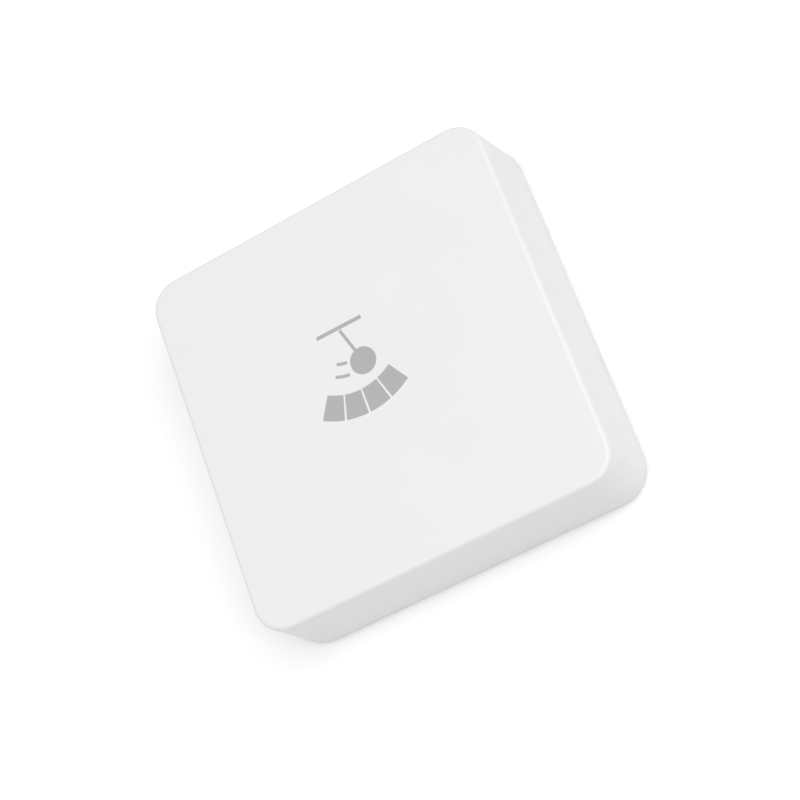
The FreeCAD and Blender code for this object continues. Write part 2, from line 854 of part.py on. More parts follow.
# Negative contact: a leaf that lies in the holder's slot and lifts to meet the cell's cap
def make_battery_leaf():
    body = new_body("battery_leaf", cell_x, S.cell_y, board_top)
    out = holder_half + S.leaf_foot
    inner = S.holder_bore / 2 - S.holder_wall
    touch = S.holder_base - S.hook_gap / 2 - S.leaf_sheet
    section = new_sketch(body, "leaf_section", "XZ_Plane")
    polygon(
        section,
        [
            (out, 0),
            (out, S.leaf_sheet),
            (inner, S.leaf_sheet),
            (0, touch + S.leaf_sheet),
            (-S.leaf_reach, S.leaf_sheet),
            (-S.leaf_reach, 0),
            (0, touch),
            (inner, 0),
        ],
    )
    pad(body, section, S.leaf_width, "leaf", middle=True)
    return body


# Coin cell, from its positive can down to the negative cap that faces the board
def make_battery():
    gauge, slack = S.cell_sheet, S.fit_gap / 2
    radius = S.cell_width / 2
    bore = radius - gauge
    neck = radius - S.cap_inset
    flange = bore - S.seal_thick - slack
    skirt_end = S.cell_height - 3 * gauge

    can = new_body("battery_can", cell_x, S.cell_y, cell_bottom)
    section = new_sketch(can, "can_section", "XZ_Plane")
    polygon(
        section,
        [
            (0, S.cell_height),
            (radius, S.cell_height),
            (radius, gauge),
            (radius - S.crimp_width, gauge),
            (radius - S.crimp_width, 2 * gauge),
            (bore, 2 * gauge),
            (bore, S.cell_height - gauge),
            (0, S.cell_height - gauge),
        ],
    )
    revolve(can, section, "can", "Z_Axis")
    crown = round_at(S.cell_height, S.cell_width)
    rounded(can, crown, S.cell_edge, "crown_edge", "Chamfer")

    cap = new_body("battery_cap", cell_x, S.cell_y, cell_bottom)
    section = new_sketch(cap, "cap_section", "XZ_Plane")
    polygon(
        section,
        [
            (0, 0),
            (neck, 0),
            (neck, S.cap_step),
            (flange, S.cap_step),
            (flange, skirt_end),
            (flange - gauge, skirt_end),
            (flange - gauge, S.cap_step + gauge),
            (neck - gauge, S.cap_step + gauge),
            (neck - gauge, gauge),
            (0, gauge),
        ],
    )
    revolve(cap, section, "cap", "Z_Axis")

    seal = new_body("battery_seal", cell_x, S.cell_y, cell_bottom)
    section = new_sketch(seal, "seal_section", "XZ_Plane")
    polygon(
        section,
        [
            (neck + slack, 2 * gauge + slack),
            (bore - slack, 2 * gauge + slack),
            (bore - slack, skirt_end),
            (flange + slack, skirt_end),
            (flange + slack, S.cap_step - slack),
            (neck + slack, S.cap_step - slack),
        ],
    )
    revolve(seal, section, "seal", "Z_Axis")

    fill = new_body("battery_fill", cell_x, S.cell_y, cell_bottom)
    pellet_foot = S.cap_step + gauge
    pellet = new_sketch(fill, "pellet_plan", height=pellet_foot)
    circle(pellet, 0, 0, 2 * (flange - gauge - slack))
    pad(fill, pellet, S.cell_height - gauge - slack - pellet_foot, "pellet")
    return [can, cap, seal, fill]


# Ball tilt switch. Its tube leans so that the ball rolls over when the door lies flat.
def tilt_point(along):
    """The y and z of a point on the tube's axis, measured up from its mouth."""
    y = S.tilt_y + along * cosine(S.tilt_angle)
    z = board_top + S.tilt_rise + along * sine(S.tilt_angle)
    return y, z


def lead_drop():
    """The y at which the leads go down through the board."""
    y, _ = tilt_point(-(S.header_flange + S.lead_run))
    return y - S.lead_bend * (1 - sine(S.tilt_angle))


def leaning_body(label):
    """A body whose own Y axis is the tube's axis."""
    y, z = tilt_point(size(0))
    body = new_body(label, tilt_x, y, z)
    body.Placement = FreeCAD.Placement(
        Vector(tilt_x.value, y.value, z.value),
        FreeCAD.Rotation(Vector(1, 0, 0), S.tilt_angle.value),
    )
    body.setExpression("Placement.Rotation.Angle", S.tilt_angle.text)
    return body


def make_tilt_switch():
    can = leaning_body("tilt_switch_can")
    outer, wall = S.can_width / 2, S.can_wall
    inner = outer - wall
    section = new_sketch(can, "tube_section", "XY_Plane")
    end = S.can_length
    polygon(
        section,
        [(inner, 0), (outer, 0), (outer, end), (0, end), (0, end - wall), (inner, end - wall)],
    )
    revolve(can, section, "tube", "Y_Axis")

    def far_rim(edge):
        box = edge.BoundBox
        return abs(box.YMax - end.value) < NEAR and abs(box.YMin - end.value) < NEAR

    rounded(can, far_rim, S.can_edge, "closed_end", "Chamfer")

    header = leaning_body("tilt_switch_header")
    section = new_sketch(header, "header_section", "XY_Plane")
    fit = inner - S.fit_gap / 5
    polygon(
        section,
        [
            (0, -S.header_flange),
            (outer, -S.header_flange),
            (outer, 0),
            (fit, 0),
            (fit, S.header_length),
            (0, S.header_length),
        ],
    )
    revolve(header, section, "plug", "Y_Axis")
    bores = new_sketch(header, "lead_bores", "XZ_Plane", -S.header_length)
    for side in (-1, 1):
        circle(bores, side * S.lead_spacing / 2, 0, S.lead_width + S.fit_gap / 2)
    pocket(header, bores, S.header_length + S.header_flange, "bores", reverse=True)
    return [can, header]


# Leads: straight out of the header, one bend, then down through the board
def make_tilt_leads():
    body = new_body("tilt_switch_leads")
    inside = S.header_length + S.lead_tip
    start_y, start_z = tilt_point(inside)
    turn_y, turn_z = tilt_point(-(S.header_flange + S.lead_run))
    route = new_sketch(body, "lead_route", "YZ_Plane", tilt_x + S.lead_spacing / 2)
    bend, lean_by = S.lead_bend, S.tilt_angle
    hub_y = turn_y + bend * sine(lean_by)
    hub_z = turn_z - bend * cosine(lean_by)
    first = Part.LineSegment(
        Vector(start_y.value, start_z.value, 0), Vector(turn_y.value, turn_z.value, 0)
    )
    arc = Part.ArcOfCircle(
        Part.Circle(Vector(hub_y.value, hub_z.value, 0), Vector(0, 0, 1), bend.value),
        math.radians(90 + lean_by.value),
        math.pi,
    )
    foot = board_bottom - S.lead_stub
    drop = Part.LineSegment(
        Vector((hub_y - bend).value, hub_z.value, 0), Vector((hub_y - bend).value, foot.value, 0)
    )
    ids = route.addGeometry([first, arc, drop], False)
    route.addConstraint(
        [
            Sketcher.Constraint("Coincident", ids[0], 2, ids[1], 1),
            Sketcher.Constraint("Coincident", ids[1], 2, ids[2], 1),
            Sketcher.Constraint("Vertical", ids[2]),
        ]
    )
    place_point(route, ids[0], 1, start_y, start_z)
    place_point(route, ids[1], 3, hub_y, hub_z)
    place_point(route, ids[1], 1, turn_y, turn_z)
    dimension(route, "DistanceY", -1, 1, ids[1], 2, value=hub_z)
    dimension(route, "DistanceY", -1, 1, ids[2], 2, value=foot)

    tip = new_sketch(body, "lead_section", "XY_Plane", foot)
    circle(tip, tilt_x + S.lead_spacing / 2, lead_drop(), S.lead_width)
    doc.recompute()
    wire = body.newObject("PartDesign::AdditivePipe", "lead")
    wire.Profile = (tip, [""])
    wire.Spine = (route, ["Edge3", "Edge2", "Edge1"])
    doc.recompute()
    pair = body.newObject("PartDesign::LinearPattern", "lead_pair")
    pair.Originals = [wire]
    pair.Direction = (origin(body, "X_Axis"), [""])
    pair.Reversed = True
    pair.setExpression("Length", S.lead_spacing.text)
    pair.Occurrences = 2
    body.Tip = pair
    doc.recompute()
    return body


# Cradle: a wedge on the board with a round seat for the leaning tube
def make_tilt_cradle():
    body = doc.addObject("PartDesign::Body", "cradle_wedge")
    near_y, near_z = tilt_point(S.cradle_start)
    far_y, far_z = tilt_point(S.cradle_start + S.cradle_length)
    lower = S.can_width / 2 - S.cradle_depth
    section = new_sketch(body, "wedge_section", "YZ_Plane", tilt_x)
    polygon(
        section,
        [
            (near_y, board_top),
            (far_y + lower * sine(S.tilt_angle), board_top),
            (far_y + lower * sine(S.tilt_angle), far_z - lower * cosine(S.tilt_angle)),
            (near_y, near_z - lower * cosine(S.tilt_angle)),
        ],
    )
    pad(body, section, S.cradle_width, "wedge", middle=True)
    seat = doc.addObject("Part::Cylinder", "cradle_seat")
    mouth_y, mouth_z = tilt_point(-S.can_length)
    seat.setExpression("Radius", (S.can_width / 2 + S.fit_gap / 2).text)
    seat.setExpression("Height", (3 * S.can_length).text)
    steep = 90 - S.tilt_angle
    seat.Placement = FreeCAD.Placement(
        Vector(0, 0, 0), FreeCAD.Rotation(Vector(-1, 0, 0), steep.value)
    )
    seat.setExpression("Placement.Base.x", tilt_x.text)
    seat.setExpression("Placement.Base.y", mouth_y.text)
    seat.setExpression("Placement.Base.z", mouth_z.text)
    seat.setExpression("Placement.Rotation.Angle", steep.text)
    cradle = doc.addObject("Part::Cut", "tilt_switch_cradle")
    cradle.Label = "tilt_switch_cradle"
    cradle.Base = body
    cradle.Tool = seat
    doc.recompute()
    return cradle


def make_tilt_ball():
    ball = doc.addObject("Part::Sphere", "tilt_ball")
    ball.Label = "tilt_ball"
    rest = S.header_length + S.lead_tip + S.ball_gap + S.ball_width / 2
    y, z = tilt_point(rest)
    ball.setExpression("Radius", (S.ball_width / 2).text)
    ball.setExpression("Placement.Base.x", tilt_x.text)
    ball.setExpression("Placement.Base.y", y.text)
    ball.setExpression("Placement.Base.z", z.text)
    doc.recompute()
    return ball


# Learn button: a tact switch with a well for its dome, under a staked steel plate
def make_button():
    side, place = S.button_side, (button_x, button_y, board_top)
    base = new_body("button_base", *place)
    outline = new_sketch(base, "base_outline")
    rounded_rectangle(outline, side, side, S.button_corner)
    pad(base, outline, S.button_base, "base_block")
    well = new_sketch(base, "well_plan", height=S.button_base)
    circle(well, 0, 0, S.button_well)
    pocket(base, well, S.button_base - S.well_floor, "well")

    plate = new_body("button_plate", *place)
    outline = new_sketch(plate, "plate_plan", height=S.button_base)
    rounded_rectangle(outline, side, side, S.button_corner)
    pad(plate, outline, S.button_sheet, "top_sheet")
    wing = new_sketch(plate, "wing_plan", height=S.button_base + S.button_sheet)
    for end in (-1, 1):
        y = end * (side + S.button_sheet) / 2
        rectangle(wing, 0, y, S.wing_width, S.button_sheet)
    pad(plate, wing, S.wing_length + S.button_sheet, "wings", reverse=True)
    mouth = new_sketch(plate, "mouth_plan", height=S.button_base + S.button_sheet)
    circle(mouth, 0, 0, S.plunger_width + 2 * S.mouth_gap)
    pocket(plate, mouth, S.button_sheet, "mouth")

    legs = new_body("button_legs", *place)
    section = new_sketch(legs, "leg_section", "XZ_Plane", -S.leg_spacing / 2)
    face, out, gauge = side / 2, side / 2 + S.leg_reach, S.leg_sheet
    knee = face + S.leg_knee
    outline = [
        (face, S.leg_height - gauge),
        (knee, S.leg_height - gauge),
        (knee, 0),
        (out, 0),
        (out, gauge),
        (knee + gauge, gauge),
        (knee + gauge, S.leg_height),
        (face, S.leg_height),
    ]
    for end in (-1, 1):
        polygon(section, [(end * x, z) for x, z in outline])
    pair = pad(legs, section, S.leg_width, "leg_pair", middle=True)
    mirrored(legs, [pair], "XZ_Plane", "four_legs")

    dome = new_body("button_dome", *place)
    section = new_sketch(dome, "dome_section", "XZ_Plane")
    foot, gauge = S.well_floor + S.press_gap, S.dome_sheet
    edge = S.button_well / 2 - S.mouth_gap
    peak = foot + S.dome_rise
    polygon(
        section,
        [
            (edge, foot),
            (edge, foot + gauge),
            (S.dome_shoulder, peak + gauge / 2),
            (0, peak + gauge),
            (0, peak),
            (S.dome_shoulder, peak - gauge / 2),
        ],
    )
    revolve(dome, section, "dome", "Z_Axis")

    plunger = new_body("button_plunger", *place)
    section = new_sketch(plunger, "plunger_section", "XZ_Plane")
    stem, flange = S.plunger_width / 2, S.button_well / 2 - S.mouth_gap
    under = S.button_base - S.press_gap
    low = peak + gauge + S.press_gap
    polygon(
        section,
        [
            (0, low),
            (S.plunger_foot / 2, low),
            (S.plunger_foot / 2, under - S.flange_thick),
            (flange, under - S.flange_thick),
            (flange, under),
            (stem, under),
            (stem, S.plunger_top - S.plunger_edge),
            (stem - S.plunger_edge, S.plunger_top),
            (0, S.plunger_top),
        ],
    )
    revolve(plunger, section, "plunger", "Z_Axis")
    return [base, plate, legs, dome, plunger]


def make_radio_chip():
    body = new_body("radio_chip", chip_x, S.chip_y, board_top)
    outline = new_sketch(body, "chip_plan")
    rectangle(outline, 0, 0, S.chip_side, S.chip_side)
    pad(body, outline, S.chip_height, "package")
    dot = new_sketch(body, "dot_plan", height=S.chip_height)
    corner = S.chip_side / 2 - S.dot_width
    circle(dot, -corner, corner, S.dot_width)
    pocket(body, dot, S.dot_depth, "first_pin_dot")
    return body


def make_crystal():
    body = new_body("crystal", board_half - S.crystal_inset, S.crystal_y, board_top)
    base = new_sketch(body, "crystal_base_plan")
    rectangle(base, 0, 0, S.crystal_length, S.crystal_width)
    pad(body, base, S.crystal_base, "ceramic_base")
    lid = new_sketch(body, "lid_plan", height=S.crystal_base)
    length = S.crystal_length - 2 * S.crystal_rim
    width = S.crystal_width - 2 * S.crystal_rim
    rounded_rectangle(lid, length, width, S.lid_corner)
    pad(body, lid, S.crystal_height - S.crystal_base, "metal_lid")
    return body


def make_tantalum():
    x = board_half - S.tantalum_inset
    body = new_body("tantalum_capacitor", x, S.tantalum_y, board_top)
    outline = new_sketch(body, "tantalum_plan")
    rectangle(outline, 0, 0, S.tantalum_length, S.tantalum_width)
    pad(body, outline, S.tantalum_height, "moulded_case")
    rounded(body, flat_at(S.tantalum_height), S.tantalum_edge, "case_edges", "Chamfer")
    return body


def make_led():
    body = new_body("led_body", led_x, led_y, board_top)
    outline = new_sketch(body, "led_plan")
    rectangle(outline, 0, 0, S.led_length, S.led_width)
    pad(body, outline, S.led_height, "white_case")
    cup = new_sketch(body, "cup_plan", height=S.led_height)
    circle(cup, 0, 0, S.lens_width)
    pocket(body, cup, S.lens_depth, "reflector_cup")
    lens = new_body("led_lens", led_x, led_y, board_top)
    drop = new_sketch(lens, "lens_plan", height=S.led_height)
    circle(drop, 0, 0, S.lens_width)
    pad(lens, drop, S.lens_depth, "clear_resin", reverse=True)
    return [body, lens]


# Chip parts: rows of loose blocks, one row beside the radio and one beside the lamp
def make_chip_parts():
    x = board_half - S.capacitor_inset
    capacitors = new_body("chip_capacitors", x, S.capacitor_y, board_top)
    plan = new_sketch(capacitors, "capacitor_plan")
    for row in range(3):
        for column in range(3):
            x, y = column * S.chip_part_pitch, row * S.chip_part_pitch
            across, along = S.chip_part_length, S.chip_part_width
            if row % 2 == 0:
                across, along = along, across
            rectangle(plan, x, y, across, along)
    pad(capacitors, plan, S.chip_part_height, "capacitor_blocks")
    clip_end = S.cell_y + clip_back + S.clip_foot
    y = clip_end + S.resistor_gap + S.chip_part_width / 2
    resistors = new_body("chip_resistors", cell_x - S.chip_part_pitch, y, board_top)
    plan = new_sketch(resistors, "resistor_plan")
    for row in range(2):
        for column in range(2):
            x, y = column * S.chip_part_pitch, row * S.chip_part_pitch / 2
            rectangle(plan, x, y, S.chip_part_length, S.chip_part_width)
    pad(resistors, plan, S.chip_part_height / 2, "resistor_blocks")
    return [capacitors, resistors]


# Antenna: a strip bent over the board on two legs and a foot, and slotted from both sides so
# that the current takes a longer way
def make_antenna():
    body = new_body("sheet_antenna", antenna_x, S.antenna_y, board_top)
    length, rise, gauge = S.antenna_length, S.antenna_rise, S.antenna_sheet
    section = new_sketch(body, "strip_section", "YZ_Plane")
    polygon(
        section,
        [
            (0, 0),
            (0, rise),
            (length, rise),
            (length, 0),
            (length - gauge, 0),
            (length - gauge, rise - gauge),
            (gauge, rise - gauge),
            (gauge, 0),
        ],
    )
    pad(body, section, S.antenna_width, "strip", middle=True)

    def outer_bend(edge):
        box = edge.BoundBox
        return flat_at(rise)(edge) and box.YLength < NEAR and (
            abs(box.YMin) < NEAR or abs(box.YMin - length.value) < NEAR
        )

    rounded(body, outer_bend, S.antenna_bend, "outer_bends")
    split = new_sketch(body, "split_plan", height=rise)
    rectangle(split, 0, 0, S.antenna_width - 2 * S.antenna_leg, 2 * S.antenna_split)
    pocket(body, split, rise, "leg_split")
    slots = new_sketch(body, "slot_plan", height=rise)
    edge = S.antenna_width / 2
    for count, side in enumerate((-1, 1, -1), start=1):
        y = S.antenna_split + count * S.antenna_pitch
        rectangle(slots, side * edge, y, 2 * S.antenna_reach, S.antenna_slot)
    pocket(body, slots, gauge, "path_slots")
    return body


def export(pieces):
    """Checks every object, then writes each piece to its own file."""
    doc.recompute()
    for thing in doc.Objects:
        if {"Invalid", "Error"} & set(thing.State):
            raise RuntimeError(f"{thing.Name} failed: {thing.State}")
    os.makedirs("parts", exist_ok=True)
    for piece in pieces:
        shape = piece.Shape
        if shape.isNull() or not shape.isValid() or not shape.Solids:
            raise RuntimeError(f"{piece.Label} has no valid solid")
        shape.exportStep(f"parts/{piece.Label}.step")
        box = shape.BoundBox
        print(f"{piece.Label}: {len(shape.Solids)} solid, {shape.Volume:.2f} mm3, z {box.ZMin:.2f}"
              f" to {box.ZMax:.2f}")


pieces = [
    make_front_cover(),
    make_back_plate(),
    make_adhesive_pad(),
    make_circuit_board(),
    make_board_screws(),
    make_battery_holder(),
    make_battery_clip(),
    make_battery_leaf(),
    *make_battery(),
    *make_tilt_switch(),
    make_tilt_leads(),
    make_tilt_cradle(),
    make_tilt_ball(),
    *make_button(),
    make_radio_chip(),
    make_crystal(),
    make_tantalum(),
    *make_led(),
    *make_chip_parts(),
    make_antenna(),
]
export(pieces)
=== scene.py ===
# %% [markdown]
# A battery tilt sensor for a garage door, dressed for its picture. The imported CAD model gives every
# piece its shape and place. This lesson gives the pieces their finishes, adds what is printed,
# etched and soldered on them, and sets up a small white studio round the sensor.

# %% Load the frame
import math

import bmesh
import bpy
from mathutils import Matrix, Vector


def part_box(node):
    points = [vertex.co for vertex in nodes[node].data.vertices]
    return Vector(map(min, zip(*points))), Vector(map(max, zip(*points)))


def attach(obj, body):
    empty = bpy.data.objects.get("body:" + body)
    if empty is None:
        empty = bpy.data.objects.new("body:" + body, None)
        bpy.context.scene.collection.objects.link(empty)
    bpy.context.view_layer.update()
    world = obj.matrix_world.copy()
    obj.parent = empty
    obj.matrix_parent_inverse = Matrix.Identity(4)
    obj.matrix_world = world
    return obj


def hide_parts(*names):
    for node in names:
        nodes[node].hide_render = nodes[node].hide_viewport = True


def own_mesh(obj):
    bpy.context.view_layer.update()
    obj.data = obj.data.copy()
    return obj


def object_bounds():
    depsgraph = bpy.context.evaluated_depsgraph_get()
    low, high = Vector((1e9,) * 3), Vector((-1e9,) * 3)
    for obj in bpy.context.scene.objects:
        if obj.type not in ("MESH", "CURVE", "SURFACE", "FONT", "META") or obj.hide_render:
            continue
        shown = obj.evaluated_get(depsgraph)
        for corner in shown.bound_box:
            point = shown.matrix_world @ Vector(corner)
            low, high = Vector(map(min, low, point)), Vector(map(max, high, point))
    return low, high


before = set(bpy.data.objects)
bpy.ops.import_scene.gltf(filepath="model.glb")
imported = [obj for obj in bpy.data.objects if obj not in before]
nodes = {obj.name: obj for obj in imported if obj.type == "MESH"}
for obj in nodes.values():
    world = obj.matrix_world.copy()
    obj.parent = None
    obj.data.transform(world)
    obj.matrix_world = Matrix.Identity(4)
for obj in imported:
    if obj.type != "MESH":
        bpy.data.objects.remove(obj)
cad_box = [list(corner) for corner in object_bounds()]
MM = 0.001


def in_mm(box):
    return [[round(x / MM, 2) for x in corner] for corner in box]


print("pieces:", len(nodes), "box in mm:", in_mm(cad_box))

# %% [markdown]
# Colours are written as the hex values that a screen shows. Blender works in linear light, so one
# function turns each channel from the sRGB curve to a linear share.

# %% Colours as a screen shows them
def linear(hex_colour):
    channels = [int(hex_colour[i:i + 2], 16) / 255 for i in (1, 3, 5)]
    light = [c / 12.92 if c <= 0.04045 else ((c + 0.055) / 1.055) ** 2.4 for c in channels]
    return (*light, 1.0)


print("mid grey in linear light:", [round(c, 3) for c in linear("#808080")])

# %% [markdown]
# Shader trees and geometry trees are both lists of nodes with links. One helper adds a node, sets
# its properties, and fills each input with a value or another node's output, which is the first one
# where only the node is given. A material starts as a Principled shader on its output, and most
# later cells only feed that shader.

# %% One helper for every kind of node
def feed(node, inputs):
    for socket, value in inputs.items():
        if isinstance(value, bpy.types.Node):
            value = value.outputs[0]
        if isinstance(value, bpy.types.NodeSocket):
            node.id_data.links.new(value, node.inputs[socket])
        else:
            node.inputs[socket].default_value = value


def add_node(tree, kind, inputs=None, **settings):
    node = tree.nodes.new(kind)
    for name, value in settings.items():
        setattr(node, name, value)
    feed(node, inputs or {})
    return node


def new_material(name, **values):
    """A material with its output and a Principled shader, whose plain inputs are the values."""
    material = bpy.data.materials.new(name)
    material.use_nodes = True
    tree = material.node_tree
    tree.nodes.clear()
    inputs = {socket.replace("_", " "): value for socket, value in values.items()}
    shader = add_node(tree, "ShaderNodeBsdfPrincipled", inputs)
    add_node(tree, "ShaderNodeOutputMaterial", {"Surface": shader})
    return material, tree, shader


def show_instead(tree, shader):
    """Puts a mixed or added shader on the material's output."""
    output = next(node for node in tree.nodes if node.type == "OUTPUT_MATERIAL")
    feed(output, {"Surface": shader})


def finish(material, *names):
    """Gives CAD pieces their finish, in the slots that they came with."""
    for name in names:
        for slot in nodes[name].material_slots:
            slot.material = material
    print(material.name, "->", ", ".join(names))


# %% [markdown]
# Most finishes here are a shader with two noises. A fine one is the relief that moulding, rolling
# or etching leaves, and a broad one lets the gloss drift, as no surface is equally smooth all over.
# Relief as real geometry would take millions of faces, so it only bends the normals. The Mapping
# node stretches the noise where the process has a direction. Sizes are in millimetres, and a noise
# with scale one per millimetre has features about a millimetre apart.

# %% Relief and drifting gloss
FAINT, STRONG = 0.3, 0.7  # nearly all of a noise lies between these


def surface_texture(tree, shader, grain, depth, gloss, cloud=8.0, run=(1, 1, 1), turn=(0, 0, 0)):
    """Feeds bump and roughness; run is how much longer than wide the grain is along each axis."""
    point = add_node(tree, "ShaderNodeTexCoord").outputs["Object"]
    scales = [1 / (grain * MM * length) for length in run]
    turned = {"Vector": point, "Rotation": [math.radians(a) for a in turn], "Scale": scales}
    mapped = add_node(tree, "ShaderNodeMapping", turned)
    grains = add_node(tree, "ShaderNodeTexNoise", {"Vector": mapped, "Scale": 1.0, "Detail": 3.0})
    broad = {"Vector": point, "Scale": 1 / (cloud * MM), "Detail": 2.0}
    clouds = add_node(tree, "ShaderNodeTexNoise", broad)
    both = add_node(tree, "ShaderNodeMath", {0: grains, 1: clouds}, operation="ADD")
    low, high = gloss
    drift = {"Value": both, "From Min": 2 * FAINT, "From Max": 2 * STRONG, "To Min": low, "To Max": high}
    rough = add_node(tree, "ShaderNodeMapRange", drift)
    relief = add_node(tree, "ShaderNodeBump", {"Height": grains, "Distance": depth * MM})
    feed(shader, {"Roughness": rough, "Normal": relief})
    return point, grains, clouds


def two_tones(tree, shader, factor, first, second, span=None):
    """Base colour between two tones, hex values or nodes' colours; a span stretches the factor."""
    if span:
        part = {"Value": factor, "From Min": span[0], "From Max": span[1]}
        factor = add_node(tree, "ShaderNodeMapRange", part)
    first, second = [linear(tone) if isinstance(tone, str) else tone for tone in (first, second)]
    tones = {"Factor": factor, "A": first, "B": second}
    colour = add_node(tree, "ShaderNodeMix", tones, data_type="RGBA").outputs[2]
    feed(shader, {"Base Color": colour})
    return colour


# %% [markdown]
# The case is moulded ABS, a hard white plastic. Its mould is spark-eroded, which leaves tiny pits
# that the plastic copies. At arm's length they read as an even satin with soft highlights. The pits
# on such a case are near 0.05 mm. They are drawn at 0.12 mm, so that they just show, and very
# shallow. The plate behind comes from a plainer mould: a bit darker, and glossier in patches.

# %% White ABS
PLASTIC_IOR = 1.53


def clouded(name, first, second, grain, depth, gloss, cloud=8.0, **values):
    """A finish in two tones; the grain, its depth and the clouds are in millimetres."""
    material, tree, shader = new_material(name, **values)
    *_, clouds = surface_texture(tree, shader, grain, depth, gloss, cloud)
    two_tones(tree, shader, clouds, first, second)
    return material


def moulded_plastic(name, first, second, grain, depth, gloss, ior=PLASTIC_IOR):
    """Plastic, ink or ceramic."""
    return clouded(name, first, second, grain, depth, gloss, IOR=ior)


cover_abs = moulded_plastic("white ABS, spark texture", "#EFEFEF", "#F1F1F1", 0.12, 0.0005, (0.28, 0.33))
plate_abs = moulded_plastic("white ABS, stoned mould", "#DDDDDA", "#E4E4E1", 0.3, 0.003, (0.3, 0.5))
finish(cover_abs, "front_cover")
finish(plate_abs, "back_plate")

# %% [markdown]
# The dark plastics are filled nylon and PBT for the coin cell's holder, the switch and the button,
# and epoxy moulding compound for the chip. Glass or mineral filler comes up to the skin, so they are
# a dark grey with a faint grain. One shared material would be shorter, but each gets its own tone,
# as they come from different makers.

# %% Black and dark plastics
holder_pbt = moulded_plastic("black PBT, glass filled", "#1C1C1E", "#2A2A2C", 0.2, 0.004, (0.35, 0.6))
switch_nylon = moulded_plastic("black nylon, satin", "#18181A", "#232326", 0.1, 0.002, (0.3, 0.5))
header_epoxy = moulded_plastic("black epoxy header", "#222224", "#2E2C2B", 0.15, 0.003, (0.4, 0.6))
chip_compound = moulded_plastic("epoxy moulding compound", "#2B2C2E", "#37383A", 0.08, 0.003, (0.5, 0.7))
finish(holder_pbt, "battery_holder")
finish(switch_nylon, "button_base", "button_plunger", "tilt_switch_cradle")
finish(header_epoxy, "tilt_switch_header")
finish(chip_compound, "radio_chip")

# %% [markdown]
# Strip metal is rolled, so its fine scratches run one way. The shader's anisotropy could show that,
# but it needs a direction painted on the mesh. A noise stretched forty times along the strip needs
# none, and drives the relief and a small change of tone. Nickel is warm and a little cloudy, tin is
# whiter and softer, and stainless steel is bluer.

# %% Rolled and plated strip
ROLLED = 40
SCRATCH = 0.08


def strip_metal(name, dark, light, gloss, along, depth=0.0012, turn=(0, 0, 0)):
    run = [ROLLED if axis == along else 1 for axis in "xyz"]
    material, tree, shader = new_material(name, Metallic=1.0)
    _, grains, _ = surface_texture(tree, shader, SCRATCH, depth, gloss, 3.0, run, turn)
    two_tones(tree, shader, grains, dark, light, span=(0.35, 0.65))
    return material


NICKEL = ("#B2AEA5", "#BEBAB1")
finish(strip_metal("nickel-plated strip, lengthways", *NICKEL, (0.3, 0.45), "y"), "battery_clip")
finish(strip_metal("nickel-plated strip, crossways", *NICKEL, (0.3, 0.45), "x"), "battery_leaf")
finish(strip_metal("tinned steel sheet", "#BAB9B4", "#C4C3BE", (0.4, 0.55), "y"), "sheet_antenna")
finish(strip_metal("stainless button plate", "#AEB0B3", "#B8BABD", (0.36, 0.5), "x"), "button_plate")
finish(strip_metal("silvered brass legs", "#B4B2AC", "#C0BEB8", (0.3, 0.45), "x"), "button_legs")

# %% [markdown]
# The coin cell's can and cap are deep drawn from stainless steel and wiped in a circle before they
# are packed. The scratches are rings round the cell's middle. A noise over the distance from that
# middle gives them, and its relief bends the highlight into the fan that a turned lid shows. The
# cap below has the same finish, a little duller, and the dome under the button a brighter one.

# %% Drawn and turned steel
RING_WIDTH, RING_DEPTH = 0.09, 0.0015


def turned_steel(name, dark, light, gloss, middle):
    material, tree, shader = new_material(name, Metallic=1.0)
    point, *_ = surface_texture(tree, shader, 0.2, 0.0005, gloss, 4.0)
    away = add_node(tree, "ShaderNodeVectorMath", {0: point, 1: middle}, operation="SUBTRACT")
    flat = add_node(tree, "ShaderNodeVectorMath", {0: away, 1: (1, 1, 0)}, operation="MULTIPLY")
    radius = add_node(tree, "ShaderNodeVectorMath", {0: flat}, operation="LENGTH").outputs["Value"]
    line = {"W": radius, "Scale": 1 / (RING_WIDTH * MM), "Detail": 2.0}
    rings = add_node(tree, "ShaderNodeTexNoise", line, noise_dimensions="1D")
    relief = add_node(tree, "ShaderNodeBump", {"Height": rings, "Distance": RING_DEPTH * MM})
    feed(shader, {"Normal": relief})
    two_tones(tree, shader, rings, dark, light, span=(FAINT, STRONG))
    return material


cell_low, cell_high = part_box("battery_can")
cell_middle = (cell_low + cell_high) / 2
can_steel = turned_steel("drawn stainless can", "#B4B5B8", "#C0C1C4", (0.2, 0.34), cell_middle)
cap_steel = turned_steel("drawn stainless cap, dull", "#A4A5A8", "#B1B2B5", (0.28, 0.42), cell_middle)
dome_low, dome_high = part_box("button_dome")
dome_middle = (dome_low + dome_high) / 2
dome_steel = turned_steel("spring steel dome", "#B7B8BA", "#CBCCCE", (0.16, 0.28), dome_middle)
finish(can_steel, "battery_can")
finish(cap_steel, "battery_cap")
finish(dome_steel, "button_dome")

# %% [markdown]
# Small turned and plated parts. The tilt switch's can is brass under bright nickel, drawn along its
# own axis, which leans back by fifteen degrees, so the noise is turned by as much. Its wires and
# ball are gold over nickel, so that the contact never tarnishes. The board's screws are zinc plated,
# with the faint blue of their passivation.

# %% Plated can, wires, ball and screws
LEAN = 15
can_nickel = strip_metal(
    "bright nickel on drawn brass", "#C6C0B5", "#CDC8BD", (0.12, 0.26), "y", turn=(-LEAN, 0, 0)
)
finish(can_nickel, "tilt_switch_can")
gold = strip_metal("gold flash on nickel", "#D9B267", "#E4C37C", (0.14, 0.26), "y", depth=0.001)
finish(gold, "tilt_switch_leads", "tilt_ball")


